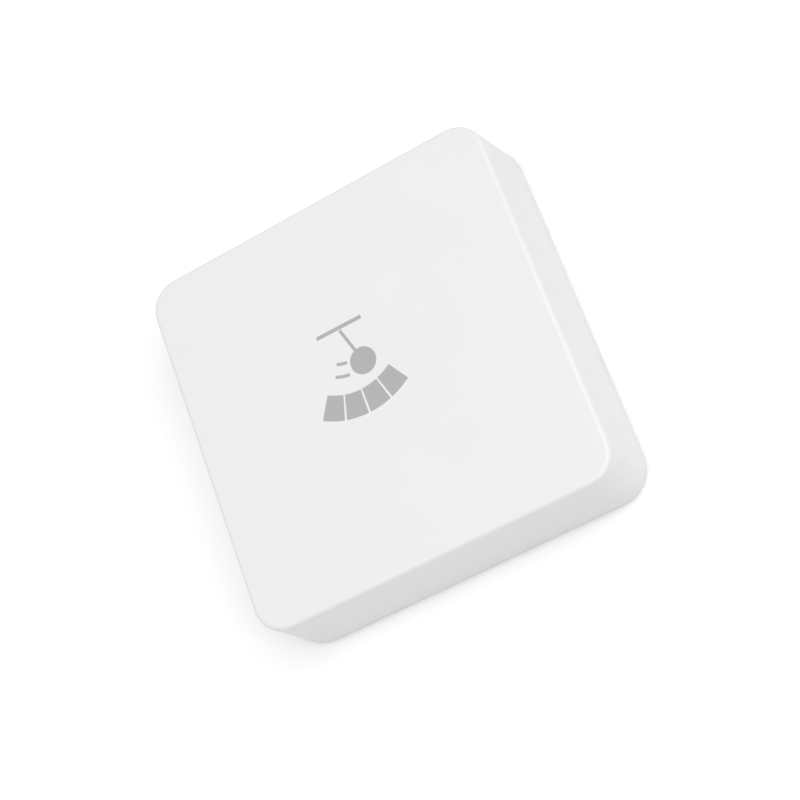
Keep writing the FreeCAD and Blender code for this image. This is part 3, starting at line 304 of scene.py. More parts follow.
def plated_with_tint(name, first, second, gloss, grain):
    """Plating whose colour drifts, as that of passivated zinc and soldered tin does."""
    return clouded(name, first, second, grain, 0.004, gloss, cloud=1.5, Metallic=1.0)


zinc = plated_with_tint("zinc plate, passivated", "#B9BEC6", "#CBCBC4", (0.25, 0.45), 0.15)
finish(zinc, "board_screws")

# %% [markdown]
# The crystal is a ceramic tub with a metal lid welded on. Both are one piece in the CAD, whose mesh
# stays as it is, so the material chooses by height: below the weld it is brown ceramic, above it
# the lid's warm metal. A Math node compares the two heights for a Mix Shader.

# %% Crystal: ceramic tub and metal lid
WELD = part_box("crystal")[0].z + 0.35 * MM
crystal_metal, tree, lid = new_material(
    "crystal lid, nickel on iron alloy", Base_Color=linear("#D5CBB4"), Metallic=1.0
)
point, grains, _ = surface_texture(tree, lid, 0.06, 0.001, (0.2, 0.32), 2.0)
tub = add_node(tree, "ShaderNodeBsdfPrincipled", {"Roughness": 0.55})
two_tones(tree, tub, grains, "#5E4E42", "#75624F")
height = add_node(tree, "ShaderNodeSeparateXYZ", {0: point}).outputs["Z"]
above = add_node(tree, "ShaderNodeMath", {0: height, 1: WELD}, operation="GREATER_THAN")
show_instead(tree, add_node(tree, "ShaderNodeMixShader", {0: above, 1: tub, 2: lid}))
finish(crystal_metal, "crystal")

# %% [markdown]
# Chip capacitors are fired ceramic, a fawn block with a fine chalky grain. Chip resistors are white
# alumina with a black glass coat on top. The coat is only on faces that look up, so the material
# reads the normal. Their tinned ends are built further down, since they stand a little proud.

# %% Ceramic parts
clay = moulded_plastic("fired ceramic, fawn", "#9C7B55", "#B08E66", 0.06, 0.002, (0.35, 0.5), 1.6)
finish(clay, "chip_capacitors")
LEVEL_ENOUGH = 0.5


def by_facing(tree, shader, upward, sideways):
    """One colour on faces that look up or down, another on the sides."""
    normal = add_node(tree, "ShaderNodeNewGeometry").outputs["True Normal"]
    upright = add_node(tree, "ShaderNodeSeparateXYZ", {0: normal}).outputs["Z"]
    either_way = add_node(tree, "ShaderNodeMath", {0: upright}, operation="ABSOLUTE")
    level = {0: either_way, 1: LEVEL_ENOUGH}
    flat = add_node(tree, "ShaderNodeMath", level, operation="GREATER_THAN")
    two_tones(tree, shader, flat, sideways, upward)


resistor_glass, tree, shader = new_material("resistor, glass on alumina", IOR=1.5)
surface_texture(tree, shader, 0.1, 0.002, (0.2, 0.35), 1.0)
by_facing(tree, shader, "#1D1D20", "#DAD8D0")
finish(resistor_glass, "chip_resistors")

# %% [markdown]
# The tantalum capacitor is a yellow epoxy block with a printed bar that marks its plus end. A thin
# box on top could be the bar. A step in the colour at a given place along the block is simpler, and
# runs down the sides as the real one does. The lamp's case is a white high-gloss nylon, and its cup
# is filled with clear silicone, which is a real refracting solid here.

# %% Tantalum capacitor and lamp
plus_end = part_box("tantalum_capacitor")[0].x
BAR_START, BAR_END = plus_end + 0.45 * MM, plus_end + 0.95 * MM
tantalum_epoxy, tree, shader = new_material("yellow epoxy with plus bar", IOR=1.55)
point, _, clouds = surface_texture(tree, shader, 0.08, 0.002, (0.35, 0.5), 2.0)
along = add_node(tree, "ShaderNodeSeparateXYZ", {0: point}).outputs["X"]
past = add_node(tree, "ShaderNodeMath", {0: along, 1: BAR_START}, operation="GREATER_THAN")
before = add_node(tree, "ShaderNodeMath", {0: along, 1: BAR_END}, operation="LESS_THAN")
inside = add_node(tree, "ShaderNodeMath", {0: past, 1: before}, operation="MULTIPLY")
yellow = two_tones(tree, shader, clouds, "#D9A032", "#E2AC40")
two_tones(tree, shader, inside, yellow, "#7A4A12")
finish(tantalum_epoxy, "tantalum_capacitor")
lamp_nylon = moulded_plastic("white reflector nylon", "#EDEBE4", "#F2F0EA", 0.1, 0.001, (0.25, 0.4))
finish(lamp_nylon, "led_body")
resin, tree, shader = new_material(
    "clear silicone resin", Base_Color=linear("#FCF8EA"), IOR=1.41, Transmission_Weight=1.0
)
surface_texture(tree, shader, 0.3, 0.001, (0.02, 0.08), 1.0)
finish(resin, "led_lens")

# %% [markdown]
# Inside the coin cell. The ring between can and cap is polypropylene, milky because light scatters
# inside it. Subsurface weight does that over half a millimetre. The filling is pressed manganese
# dioxide and carbon: a dark powder with coarse grains.

# %% Cell's ring and filling
milky = dict(Subsurface_Weight=0.6, Subsurface_Scale=0.5 * MM, Subsurface_Radius=(1.0, 1.0, 0.9))
seal_look = ("milky polypropylene", "#CFCDC3", "#D9D8D0", 0.25, 0.002, (0.35, 0.5))
finish(clouded(*seal_look, IOR=1.49, **milky), "battery_seal")
powder = moulded_plastic("pressed manganese dioxide", "#1A1918", "#34312E", 0.25, 0.03, (0.75, 0.95))
finish(powder, "battery_fill")

# %% [markdown]
# The sensor sticks to the door with a foam pad. Closed cells make its skin a field of small domes
# with creases between them, so it has a texture of cells rather than a noise. Real cells are about
# 0.2 mm. They are drawn at 0.4 mm, so that they show. The colour darkens from each dome's middle to
# the creases, which is painted shade.

# %% Foam pad
CELL, CREASE = 0.4, 0.05
foam, tree, shader = new_material("closed-cell foam, white", Roughness=0.85, IOR=1.45)
point = add_node(tree, "ShaderNodeTexCoord").outputs["Object"]
packing = {"Vector": point, "Scale": 1 / (CELL * MM), "Randomness": 0.9}
dome_and_crease_shade = add_node(tree, "ShaderNodeTexVoronoi", packing).outputs["Distance"]
domes = {"Height": dome_and_crease_shade, "Distance": CREASE * MM, "Strength": 0.8}
feed(shader, {"Normal": add_node(tree, "ShaderNodeBump", domes, invert=True)})
# Painted shade: the colour darkens from each cell's middle towards the creases between cells.
two_tones(tree, shader, dome_and_crease_shade, "#E6E5E0", "#CFCEC8")
finish(foam, "adhesive_pad")

# %% [markdown]
# The board is woven glass in epoxy with a green solder mask on both faces. The mask is a thin glossy
# paint. It sinks a little between the yarns, so a faint weave shows in the gloss. Two waves at right
# angles make it, each with a yarn's spacing. Routed edges and drilled holes show the bare laminate:
# tan and dry, with its layers in lines, which are a third wave. The same facing test as for the
# resistors parts the two.

# %% Circuit board
WAVE = math.pi / 10  # a Wave texture of scale one repeats at this distance
YARN, LAYER, SINK = 0.5, 0.18, 0.004
board_laminate, tree, shader = new_material("green mask on woven glass", IOR=1.5)
point, *_ = surface_texture(tree, shader, 0.2, 0.001, (0.22, 0.34), 6.0)
waves = []
for axis, spacing, bend in (("X", YARN, 0.6), ("Y", YARN, 0.6), ("Z", LAYER, 1.5)):
    bands = {"Vector": point, "Scale": WAVE / (spacing * MM), "Distortion": bend}
    waves.append(add_node(tree, "ShaderNodeTexWave", bands, bands_direction=axis).outputs["Fac"])
warp, weft, layers = waves
yarns = add_node(tree, "ShaderNodeMath", {0: warp, 1: weft}, operation="MAXIMUM")
cloth = add_node(tree, "ShaderNodeBump", {"Height": yarns, "Distance": SINK * MM})
feed(shader, {"Normal": cloth})
mask = two_tones(tree, shader, yarns, "#0E4A2E", "#125436")
edge = two_tones(tree, shader, layers, "#8C8456", "#B3AA7C")
by_facing(tree, shader, mask, edge)
finish(board_laminate, "circuit_board")

# %% [markdown]
# Now the pieces that the CAD leaves to this lesson. Many of them are thin lines that follow a path:
# copper tracks, printed outlines, etched rings. Each could be a curve object with a bevel, but one
# Geometry Nodes tree makes them all. It takes a mesh of loose edges, turns it into curves, rounds
# the corners and sweeps a flat bar along them.

# %% Tree: a flat bar along a path
def new_tree(name, result, inputs):
    """A geometry tree with named inputs, each with its kind and, for a number, its default."""
    tree = bpy.data.node_groups.new(name, "GeometryNodeTree")
    for label, kind, *default in inputs:
        socket = tree.interface.new_socket(label, in_out="INPUT", socket_type="NodeSocket" + kind)
        if default:
            socket.default_value = default[0]
    tree.interface.new_socket(result, in_out="OUTPUT", socket_type="NodeSocketGeometry")
    return tree, add_node(tree, "NodeGroupInput").outputs


def dress_and_end(tree, piece, material):
    """Realize Instances and Set Material, with which both trees end."""
    real = add_node(tree, "GeometryNodeRealizeInstances", {0: piece})
    finished = {"Geometry": real, "Material": material}
    dressed = add_node(tree, "GeometryNodeSetMaterial", finished)
    add_node(tree, "NodeGroupOutput", {0: dressed})
    print(f"tree: {tree.name}, {len(tree.nodes)} nodes")
    return tree


bar_inputs = [
    ("Path", "Geometry"),
    ("Width", "Float", 0.25 * MM),
    ("Height", "Float", 0.02 * MM),
    ("Corner", "Float", 0.2 * MM),
    ("Finish", "Material"),
]
tree, given = new_tree("flat bar along a path", "Bar", bar_inputs)
curve = add_node(tree, "GeometryNodeMeshToCurve", {"Mesh": given["Path"]})
corners = {"Curve": curve, "Radius": given["Corner"], "Limit Radius": True, "Count": 3}
rounded = add_node(tree, "GeometryNodeFilletCurve", corners, mode="POLY")
level = add_node(tree, "GeometryNodeSetCurveNormal", {0: rounded}, mode="Z_UP")
size = {"Width": given["Width"], "Height": given["Height"]}
section = add_node(tree, "GeometryNodeCurvePrimitiveQuadrilateral", size)
sweep = {"Curve": level, "Profile Curve": section, "Fill Caps": True}
swept = add_node(tree, "GeometryNodeCurveToMesh", sweep)
flat = add_node(tree, "GeometryNodeSetShadeSmooth", {"Geometry": swept, "Shade Smooth": False})
bar = dress_and_end(tree, flat, given["Finish"])

# %% [markdown]
# A tree's result lives only while its modifier does. This helper puts the modifier on a base mesh,
# sets each input by its socket's identifier, takes the evaluated result as a plain mesh, and throws
# the base away. What stays is an ordinary object at the origin, with its place in its mesh.

# %% From tree to piece
def in_scene(name, data):
    thing = bpy.data.objects.new(name, data)
    bpy.context.scene.collection.objects.link(thing)
    return thing


def grown(name, base, tree, body, **inputs):
    """A piece from a tree and a base mesh; the inputs carry the names that the tree gives them."""
    start = in_scene(name + "_base", base)
    modifier = start.modifiers.new("grow", "NODES")
    modifier.node_group = tree
    for item in tree.interface.items_tree:
        if item.in_out == "INPUT" and item.name in inputs:
            modifier[item.identifier] = inputs[item.name]
    now = start.evaluated_get(bpy.context.evaluated_depsgraph_get())
    mesh = bpy.data.meshes.new_from_object(now)
    bpy.data.objects.remove(start)
    return placed(name, mesh, body)


def placed(name, mesh, body):
    """Adds a finished mesh to the scene, riding on a body, and says how large it is."""
    mesh.name = name
    piece = in_scene(name, mesh)
    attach(piece, body)
    size = " x ".join(f"{side / MM:.2f}" for side in piece.dimensions)
    print(f"{name}: {len(mesh.polygons)} faces, {size} mm")
    return piece


# %% From routes to bars
def path_mesh(routes, height, closed=False):
    """Loose edges through each route's points, in millimetres; a third number lifts a point."""
    verts, edges = [], []
    for route in routes:
        start = len(verts)
        verts += [(x * MM, y * MM, (height + sum(lift)) * MM) for x, y, *lift in route]
        edges += [(k, k + 1) for k in range(start, len(verts) - 1)]
        if closed:
            edges.append((len(verts) - 1, start))
    mesh = bpy.data.meshes.new("path")
    mesh.from_pydata(verts, edges, [])
    return mesh


def traced(name, routes, height, width, thick, material, corner=0.0, closed=False):
    """Bars along routes on the base, all lengths in millimetres."""
    size = dict(Width=width * MM, Height=thick * MM, Corner=corner * MM, Finish=material)
    return grown(name, path_mesh(routes, height, closed), bar, "base", **size)


# %% [markdown]
# The second tree sets copies of one small shape on points, as for pads, solder and end caps. Linked
# copies of an object would do too, but they would be a hundred objects. Each point carries two named
# attributes, how it is turned and how far it is stretched, so one shape of unit size fits every
# joint. No two solder joints are alike, so a seeded random factor changes each copy's size a little.

# %% Tree: copies on points
copies_inputs = [
    ("Spots", "Geometry"),
    ("Shape", "Object"),
    ("Finish", "Material"),
    ("Unevenness", "Float", 0.0),
    ("Seed", "Int", 1),
]
tree, given = new_tree("copies on points", "Copies", copies_inputs)
info = add_node(tree, "GeometryNodeObjectInfo", {"Object": given["Shape"]})
turn, stretch = [
    add_node(tree, "GeometryNodeInputNamedAttribute", {"Name": name}, data_type="FLOAT_VECTOR")
    for name in ("turn", "stretch")
]
least = add_node(tree, "ShaderNodeMath", {0: 1.0, 1: given["Unevenness"]}, operation="SUBTRACT")
draw = {2: least, 3: 1.0, "Seed": given["Seed"]}
factor = add_node(tree, "FunctionNodeRandomValue", draw, data_type="FLOAT").outputs[1]
scale = add_node(tree, "ShaderNodeVectorMath", {0: stretch, "Scale": factor}, operation="SCALE")
on_spots = {"Points": given["Spots"], "Instance": info.outputs["Geometry"]}
set_down = add_node(
    tree, "GeometryNodeInstanceOnPoints", {**on_spots, "Rotation": turn, "Scale": scale}
)
copies = dress_and_end(tree, set_down, given["Finish"])


def copied(name, spots, shape, material, body="base", **unevenness):
    """Copies on points, from rows of place, angles and size, in millimetres and degrees."""
    mesh = bpy.data.meshes.new("spots")
    mesh.from_pydata([[c * MM for c in place] for place, angles, size in spots], [], [])
    turns = mesh.attributes.new("turn", "FLOAT_VECTOR", "POINT")
    sizes = mesh.attributes.new("stretch", "FLOAT_VECTOR", "POINT")
    for k, (place, angles, size) in enumerate(spots):
        turns.data[k].vector = [math.radians(a) for a in angles]
        sizes.data[k].vector = [c * MM for c in size]
    return grown(name, mesh, copies, body, Shape=shape, Finish=material, **unevenness)


def round_spots(points, z, radius, height, turn=0):
    """Rows for a disc or cone on each point; a turn of 180 hangs it upside down."""
    return [((x, y, z), (turn, 0, 0), (radius, radius, height)) for x, y in points]


# %% [markdown]
# The shapes that are copied are built from given sections, one unit long, wide and high. A bevelled
# block serves for pads and caps. A fillet of solder climbs a wall in a hollow curve, so its section is
# a quarter circle cut out of a square. A cone with a hollow flank stands round a wire. Blender's own
# cube and cone would be quicker, but their sharp edges catch no light.

# %% Sections, swept and turned
def moved(x, y, facing, out, side=0.0):
    """The point that lies so far out along a facing in degrees, and so far to the left of it."""
    c, s = math.cos(math.radians(facing)), math.sin(math.radians(facing))
    return x + out * c - side * s, y + out * s + side * c


def circle(x, y, radius, steps):
    return [moved(x, y, 360 * k / steps, radius) for k in range(steps)]


def add_wall(maker, lower, upper):
    """Faces between two rings of as many points."""
    for k in range(len(lower)):
        n = (k + 1) % len(lower)
        maker.faces.new((lower[k], lower[n], upper[n], upper[k]))


def swept_section(section):
    """A closed section in x and z, given a width of one along y."""
    maker = bmesh.new()
    near = [maker.verts.new((x, -0.5, z)) for x, z in section]
    far = [maker.verts.new((x, 0.5, z)) for x, z in section]
    maker.faces.new(near)
    maker.faces.new(far)
    add_wall(maker, near, far)
    return maker


def turned_section(section, steps=12):
    """A section in radius and height, turned about z; its first and last points are on the axis."""
    maker = bmesh.new()
    foot = maker.verts.new((0, 0, section[0][1]))
    tip = maker.verts.new((0, 0, section[-1][1]))
    rings = []
    for radius, height in section[1:-1]:
        rings.append([maker.verts.new((x, y, height)) for x, y in circle(0, 0, radius, steps)])
    for k in range(steps):
        n = (k + 1) % steps
        maker.faces.new((foot, rings[0][n], rings[0][k]))
        maker.faces.new((tip, rings[-1][k], rings[-1][n]))
    for lower, upper in zip(rings, rings[1:]):
        add_wall(maker, lower, upper)
    return maker


def closed_mesh(name, maker):
    """Points a shape's faces outwards and makes it a mesh."""
    bmesh.ops.recalc_face_normals(maker, faces=maker.faces)
    mesh = bpy.data.meshes.new(name)
    maker.to_mesh(mesh)
    maker.free()
    return mesh


# %% Small shapes of unit size
def unit_shape(name, maker):
    """An object that only the copies tree uses."""
    mesh = closed_mesh(name, maker)
    print(f"{name}: {len(mesh.polygons)} faces")
    return bpy.data.objects.new(name, mesh)


EDGE = 0.12
block_section = [(0, 0), (1, 0), (1, 1 - EDGE), (1 - EDGE, 1), (EDGE, 1), (0, 1 - EDGE)]
quarter = [math.radians(a) for a in range(0, 91, 15)]
hollow_section = [(0, 0)] + [(1 - math.sin(a), 1 - math.cos(a)) for a in quarter]
cone_section = [(0, 0), (1, 0), (0.72, 0.12), (0.5, 0.34), (0.38, 0.65), (0.34, 0.9), (0, 1)]
disc_section = [(0, 0), (1, 0), (1, 0.7), (0.94, 1), (0, 1)]
block = unit_shape("unit_block", swept_section(block_section))
fillet = unit_shape("unit_fillet", swept_section(hollow_section))
cone = unit_shape("unit_cone", turned_section(cone_section))
disc = unit_shape("unit_disc", turned_section(disc_section, 24))

# %% [markdown]
# Finishes for the added pieces. Solder is a tin alloy that sets with a bright but wavy skin. Pads
# are copper under a thin coat of gold. Tracks lie under the mask, so they are a lighter green, and
# the printed outlines are a white epoxy ink, a little chalky.

# %% Finishes of the board's print, tracks and solder
solder_tin = plated_with_tint("solder, tin alloy", "#BDBDBB", "#D8D8D5", (0.12, 0.32), 0.3)
pad_gold = plated_with_tint("gold flash on copper pad", "#D9B668", "#E6C97F", (0.25, 0.4), 0.2)
end_tin = plated_with_tint("matt tin on ceramic", "#BFBFBD", "#CFCFCC", (0.3, 0.48), 0.1)
track_mask = moulded_plastic("mask over copper track", "#1D6B45", "#23764D", 0.2, 0.001, (0.2, 0.32), 1.5)
board_ink = moulded_plastic("white epoxy ink", "#DEDEDA", "#EDEDEA", 0.1, 0.002, (0.5, 0.7), 1.5)
print("also:", ", ".join(m.name for m in (solder_tin, pad_gold, end_tin, track_mask, board_ink)))

# %% [markdown]
# Tracks. A designer routes them with straight runs and bends of 45 degrees, from each pin to the
# next part. These go from the radio chip to its crystal, capacitors, button, tilt switch and
# antenna, and from the lamp to its resistors. Supply tracks are wide, signal tracks narrow. A
# painted texture could show them, but bars catch the light as real copper under the mask does.

# %% Copper tracks
BOARD_BOTTOM, BOARD_TOP = [corner.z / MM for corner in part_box("circuit_board")]
PITCH = 2.4
COLUMNS = [9.2 + PITCH * k for k in range(3)]  # of chip capacitors
BETWEEN_ROWS = [[(x, low), (x, high)] for low, high in ((9.4, 10.9), (11.5, 13.0)) for x in COLUMNS]
SIGNAL_TRACKS = [
    [(14.8, 1.6), (15.6, 1.6), (16.1, 2.1), (19.4, 2.1), (20.2, 1.3), (20.2, -13.2)]
    + [(19.8, -13.6), (18.2, -13.6), (17.8, -13.2), (17.8, -12.2)],
    [(12.8, 0.8), (12.8, -0.6), (13.4, -1.2), (13.4, -10.2), (14.9, -11.7), (14.9, -14.1)],
    [(13.6, 0.8), (13.6, -0.4), (13.9, -0.7), (13.9, -9.9), (16.2, -12.2)],
    [(10.8, 0.8), (10.8, -1.0), (10.2, -1.6), (10.2, -2.3)],
    [(11.4, 0.8), (11.4, -1.2), (11.8, -1.6), (11.8, -2.3)],
    [(12.0, 6.4), (12.0, 7.0), (11.6, 7.4), (11.6, 8.1)],
    [(10.2, 6.4), (10.2, 7.0), (9.2, 8.0)],
    [(13.6, 6.4), (13.6, 7.2), (14.0, 7.6), (14.0, 8.1)],
    *BETWEEN_ROWS,
    [(9.2, 14.2), (9.2, 15.4), (8.4, 16.2), (6.8, 16.2)],
    [(11.6, 14.2), (11.6, 15.2), (10.4, 16.4), (10.4, 19.4)],
    [(-12.4, 17.6), (-11.2, 17.6), (-10.6, 18.2), (-9.9, 18.2)],
    [(-12.4, 16.4), (-10.9, 16.4), (-10.2, 15.7), (-9.3, 15.7)],
    [(-6.4, 18.0), (-5.8, 18.0), (-5.3, 17.5), (-5.3, 16.2)],
    [(-6.4, 19.2), (-5.6, 19.2)],
    [(-10.0, 19.2), (-11.4, 19.2), (-11.9, 19.7), (-14.8, 19.7)],
    [(7.0, -14.15), (5.8, -14.15), (5.2, -14.75), (5.2, -19.4)],
    [(7.0, -18.65), (6.2, -18.65)],
    [(15.0, -18.65), (15.9, -18.65), (16.3, -19.05), (16.3, -20.2), (6.4, -20.2)],
    [(-14.0, -17.4), (-14.0, -15.6), (-13.2, -14.8)],
    [(-11.6, -17.4), (-11.6, -15.9), (-10.6, -14.9)],
    [(-9.2, -17.4), (-9.2, -16.1), (-8.0, -14.9)],
]
SUPPLY_TRACKS = [
    [(8.0, -1.4), (8.0, -7.4), (8.8, -8.2), (9.4, -8.2)],
    [(12.4, -8.2), (12.4, -10.8), (11.6, -11.6), (8.2, -11.6)],
    [(14.0, 14.2), (14.0, 17.6), (12.8, 18.8), (12.0, 18.8)],
    [(15.6, 14.6), (15.6, 16.2), (16.4, 17.0)],
]
COPPER, BEND = 0.03, 0.25
traced("signal_tracks", SIGNAL_TRACKS, BOARD_TOP, 0.22, COPPER, track_mask, BEND)
traced("supply_tracks", SUPPLY_TRACKS, BOARD_TOP, 0.7, COPPER, track_mask, BEND)

# %% [markdown]
# Printed outlines show the assembler where each part sits, with a plus and a minus for the coin
# cell's two contacts and a plus beside the tantalum capacitor. They are screen-printed ink, 0.15 mm
# wide, and lie over the tracks.

# %% Printed outlines
def frame_round(x, y, width, height):
    a, b = width / 2, height / 2
    return [(x - a, y - b), (x + a, y - b), (x + a, y + b), (x - a, y + b)]


FRAMED = [
    (12.0, 3.6, 7.0, 7.0), (11.6, 11.2, 7.2, 7.4), (11.0, -3.4, 4.0, 3.3), (10.8, -8.2, 5.2, 3.4),
    (11.0, -16.4, 6.8, 7.2), (-14.0, 17.0, 5.0, 3.6), (-8.15, 18.6, 5.2, 2.8),
]
SIGNS = [
    [(-11.6, 15.1), (-10.4, 15.1)],
    [(-11.0, 14.5), (-11.0, 15.7)],
    [(6.95, 2.75), (7.95, 2.75)],
    [(13.6, -6.3), (14.2, -6.3)],
    [(13.9, -6.6), (13.9, -6.0)],
]
LINE, INK = 0.15, 0.05
frames = [frame_round(*row) for row in FRAMED]
traced("printed_outlines", frames, BOARD_TOP, LINE, INK, board_ink, corner=0.3, closed=True)
traced("printed_signs", SIGNS, BOARD_TOP, LINE, INK, board_ink)

# %% [markdown]
# Solder joints. One table lists every joint: where the metal ends, which way it faces, how wide it
# is and how high solder can climb. From it come the gold-flashed pads on the board and the solder
# fillets on them. A small part has a joint at both ends, so its rows come from its middle and length.

# %% Table of solder joints
def ends_of(middles, length, width, height, facings=(0, 180)):
    """Both ends of parts of one size, as rows of x, y, facing, width and height."""
    return [
        (*moved(x, y, facing, length / 2), facing, width, height)
        for x, y in middles
        for facing in facings
    ]


capacitors = []
for row, facings in enumerate(((90, -90), (0, 180), (90, -90))):
    middles = [(x, 8.8 + PITCH * row) for x in COLUMNS]
    capacitors += ends_of(middles, 1.6, 0.8, 0.7, facings)
resistors = ends_of([(x, y) for x in (-9.35, -6.95) for y in (18.0, 19.2)], 1.6, 0.8, 0.35)
tantalum_ends = ends_of([(10.8, -8.2)], 3.7, 2.2, 0.6)
lamp_ends = ends_of([(-14.0, 16.4), (-14.0, 17.6)], 3.7, 0.8, 0.5)
crystal_ends = ends_of([(11.0, -4.1), (11.0, -2.7)], 3.2, 0.9, 0.25)
button_ends = ends_of([(11.0, -14.15), (11.0, -18.65)], 9.0, 0.7, 0.3)
strip_feet = [
    (-6.95, 16.45, 90, 5.0, 0.25),
    (8.6, 0.0, 0, 3.6, 0.2),
    (16.55, 2.6, -90, 1.1, 0.6),
    (19.85, 2.6, -90, 1.1, 0.6),
    (18.2, 13.2, 90, 4.4, 0.6),
]
CLIMB = 0.7
joints = [(x, y, a, w, CLIMB * h) for x, y, a, w, h in capacitors + resistors]
joints += tantalum_ends + lamp_ends + crystal_ends + button_ends + strip_feet
print("solder joints:", len(joints))

# %% Pads and solder fillets
PAD_HEIGHT = 0.035
FILLET, PAD_UNDER, PAD_BEYOND, PAD_BESIDE = 0.3, 0.4, 0.08, 0.1
pads, fillets = [], []
for x, y, facing, width, height in joints:
    under = (*moved(x, y, facing, -PAD_UNDER), BOARD_TOP)
    size = (PAD_UNDER + FILLET + PAD_BEYOND, width + 2 * PAD_BESIDE, PAD_HEIGHT)
    pads.append((under, (0, 0, facing), size))
    fillets.append(((x, y, BOARD_TOP + PAD_HEIGHT), (0, 0, facing), (FILLET, width, height)))
TEST_PADS = [(-14.0 + 2.4 * k, -17.4 - 1.6 * row) for k in range(3) for row in range(2)]
copied("solder_pads", pads, block, pad_gold)
copied("test_pads", round_spots(TEST_PADS, BOARD_TOP, 0.55, PAD_HEIGHT), disc, pad_gold)
copied("solder_fillets", fillets, fillet, solder_tin, Unevenness=0.12, Seed=7)

# %% [markdown]
# The tilt switch's wires go through the board and are soldered from below. Surface tension draws the
# solder up the wire, so each joint is a cone with a hollow flank. The copies tree turns the cone
# over and sets it on the board's underside, and a smaller one stands on top, where some solder has
# come through the hole.

# %% Joints of the two wires
WIRES = [(16.2, -12.15), (17.8, -12.15)]
below = round_spots(WIRES, BOARD_BOTTOM, 0.7, 0.6, turn=180)
above = round_spots(WIRES, BOARD_TOP, 0.62, 0.3)
copied("wire_joints", below + above, cone, solder_tin, Unevenness=0.1, Seed=3)

# %% [markdown]
# Vias are small plated holes that take a track to the other face. The mask covers their copper
# ring, and their middle is a dimple that lies in shade. Two discs show them: a ring in the track's
# green and a dark core that stands a hair higher, which is painted shade where the dimple would be.
# Real holes would need cuts in the board for no gain.

# %% Vias
VIAS = [
    (6.8, 16.2), (10.4, 19.4), (12.0, 18.8), (16.4, 17.0), (-5.6, 19.2), (-14.8, 19.7),
    (5.2, -19.4), (6.2, -18.65), (6.4, -20.2), (-13.2, -14.8), (-10.6, -14.9), (-8.0, -14.9),
    (8.2, -11.6), (-18.6, 14.6), (-17.2, 13.6), (18.9, 15.4), (17.6, 14.8), (-16.2, -13.4),
]
copied("via_rings", round_spots(VIAS, BOARD_TOP, 0.32, 0.035), disc, track_mask)
# The dark core is painted shade: a disc of black epoxy where the hole's dimple lies in shadow.
copied("via_cores", round_spots(VIAS, BOARD_TOP, 0.14, 0.045), disc, chip_compound)

# %% [markdown]
# End caps. A chip capacitor or resistor is dipped in silver paste at both ends and tinned, so its
# ends are a little larger than its body. Each cap here is a bevelled block that stands proud of the
# ceramic by 0.02 mm. Terminals of the capacitor and the lamp are flat strips in the same way.

# %% End caps and terminals
PROUD = 0.02


def caps_on(ends, depth, thick=PROUD):
    rows = []
    for x, y, facing, width, height in ends:
        start = (*moved(x, y, facing, -depth), BOARD_TOP)
        rows.append((start, (0, 0, facing), (depth + thick, width + 2 * PROUD, height + PROUD)))
    return rows


copied("chip_end_caps", caps_on(capacitors + resistors, depth=0.34), block, end_tin)
strips = caps_on(tantalum_ends + lamp_ends, depth=0.1, thick=0.0)
copied("part_terminals", strips, block, end_tin)

# %% [markdown]
# The radio chip is a flat package with no legs. Its contacts are copper lands, a row of small bright
# squares at the foot of each side. They sit at an even pitch, so a short loop places them.

# %% Radio chip's contacts
chip_low, chip_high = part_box("radio_chip")
chip_x, chip_y = (chip_low.x + chip_high.x) / 2 / MM, (chip_low.y + chip_high.y) / 2 / MM
LAND_START, LAND_PITCH, LANDS = 2.7, 0.6, 9
LAND_SIZE = (0.45, 0.28, 0.22)
lands = []
for facing in (0, 90, 180, 270):
    for k in range(LANDS):
        side = (k - (LANDS - 1) / 2) * LAND_PITCH
        place = (*moved(chip_x, chip_y, facing, LAND_START, side), BOARD_TOP)
        lands.append((place, (0, 0, facing), LAND_SIZE))
copied("chip_contacts", lands, block, solder_tin, Unevenness=0.08, Seed=5)

# %% [markdown]
# The lamp's die is a pale square on the cup's floor, with one gold wire over it to the cup's rim.
# The wire is an arc of short runs, swept by the bar tree.

# %% Lamp's die and wire
lens_low, lens_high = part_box("led_lens")
CUP_FLOOR, LAMP_X, LAMP_Y = lens_low.z / MM, -14.0, 17.0
phosphor = moulded_plastic("pale yellow phosphor", "#E6D88C", "#F0E6A6", 0.1, 0.002, (0.5, 0.7), 1.7)
die = [((LAMP_X - 0.4, LAMP_Y, CUP_FLOOR), (0, 0, 0), (0.8, 0.8, 0.2))]
copied("lamp_die", die, block, phosphor)
WIRE_RUNS, WIRE_WIDTH = 8, 0.06
WIRE_START, WIRE_SPAN = LAMP_X + 0.2, 0.6
DIE_TOP, WIRE_BOW, WIRE_DROP = 0.2, 0.35, 0.15
arc = []
for k in range(WIRE_RUNS + 1):
    t = k / WIRE_RUNS
    lift = DIE_TOP + WIRE_BOW * math.sin(math.pi * t) - WIRE_DROP * t
    arc.append((WIRE_START + WIRE_SPAN * t, LAMP_Y, lift))
traced("lamp_wire", [arc], CUP_FLOOR, WIRE_WIDTH, WIRE_WIDTH, gold)

# %% [markdown]
# The CAD's resin fills the cup exactly, and light can't tell two faces that coincide. So a lens
# takes its place that is 0.03 mm narrower. Its top is slightly hollow, as silicone creeps up the
# cup's wall before it cures. The section is turned with the same helper as the cone, and only its
# top is shaded smooth.

# %% Lamp's lens
TURNED_STEPS = 40


def bowed(radius, rim, rise, rings):
    """Points from the axis out to a rim's height, which the middle rises above."""
    return [(radius * k / rings, rim + rise * (1 - (k / rings) ** 2)) for k in range(rings + 1)]


def turned_piece(name, section, x, y, material, node, is_sheet=False):
    """Turns a section about the upright line through x and y, to take the place of a CAD node."""
    maker = turned_section(section, TURNED_STEPS)
    for vert in maker.verts:
        vert.co = ((x + vert.co.x) * MM, (y + vert.co.y) * MM, vert.co.z * MM)
    mesh = closed_mesh(name, maker)
    for face in mesh.polygons:
        upward = abs(face.normal.z) if is_sheet else face.normal.z
        face.use_smooth = upward > LEVEL_ENOUGH
    mesh.materials.append(material)
    piece = placed(name, mesh, "base")
    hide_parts(node)
    return piece


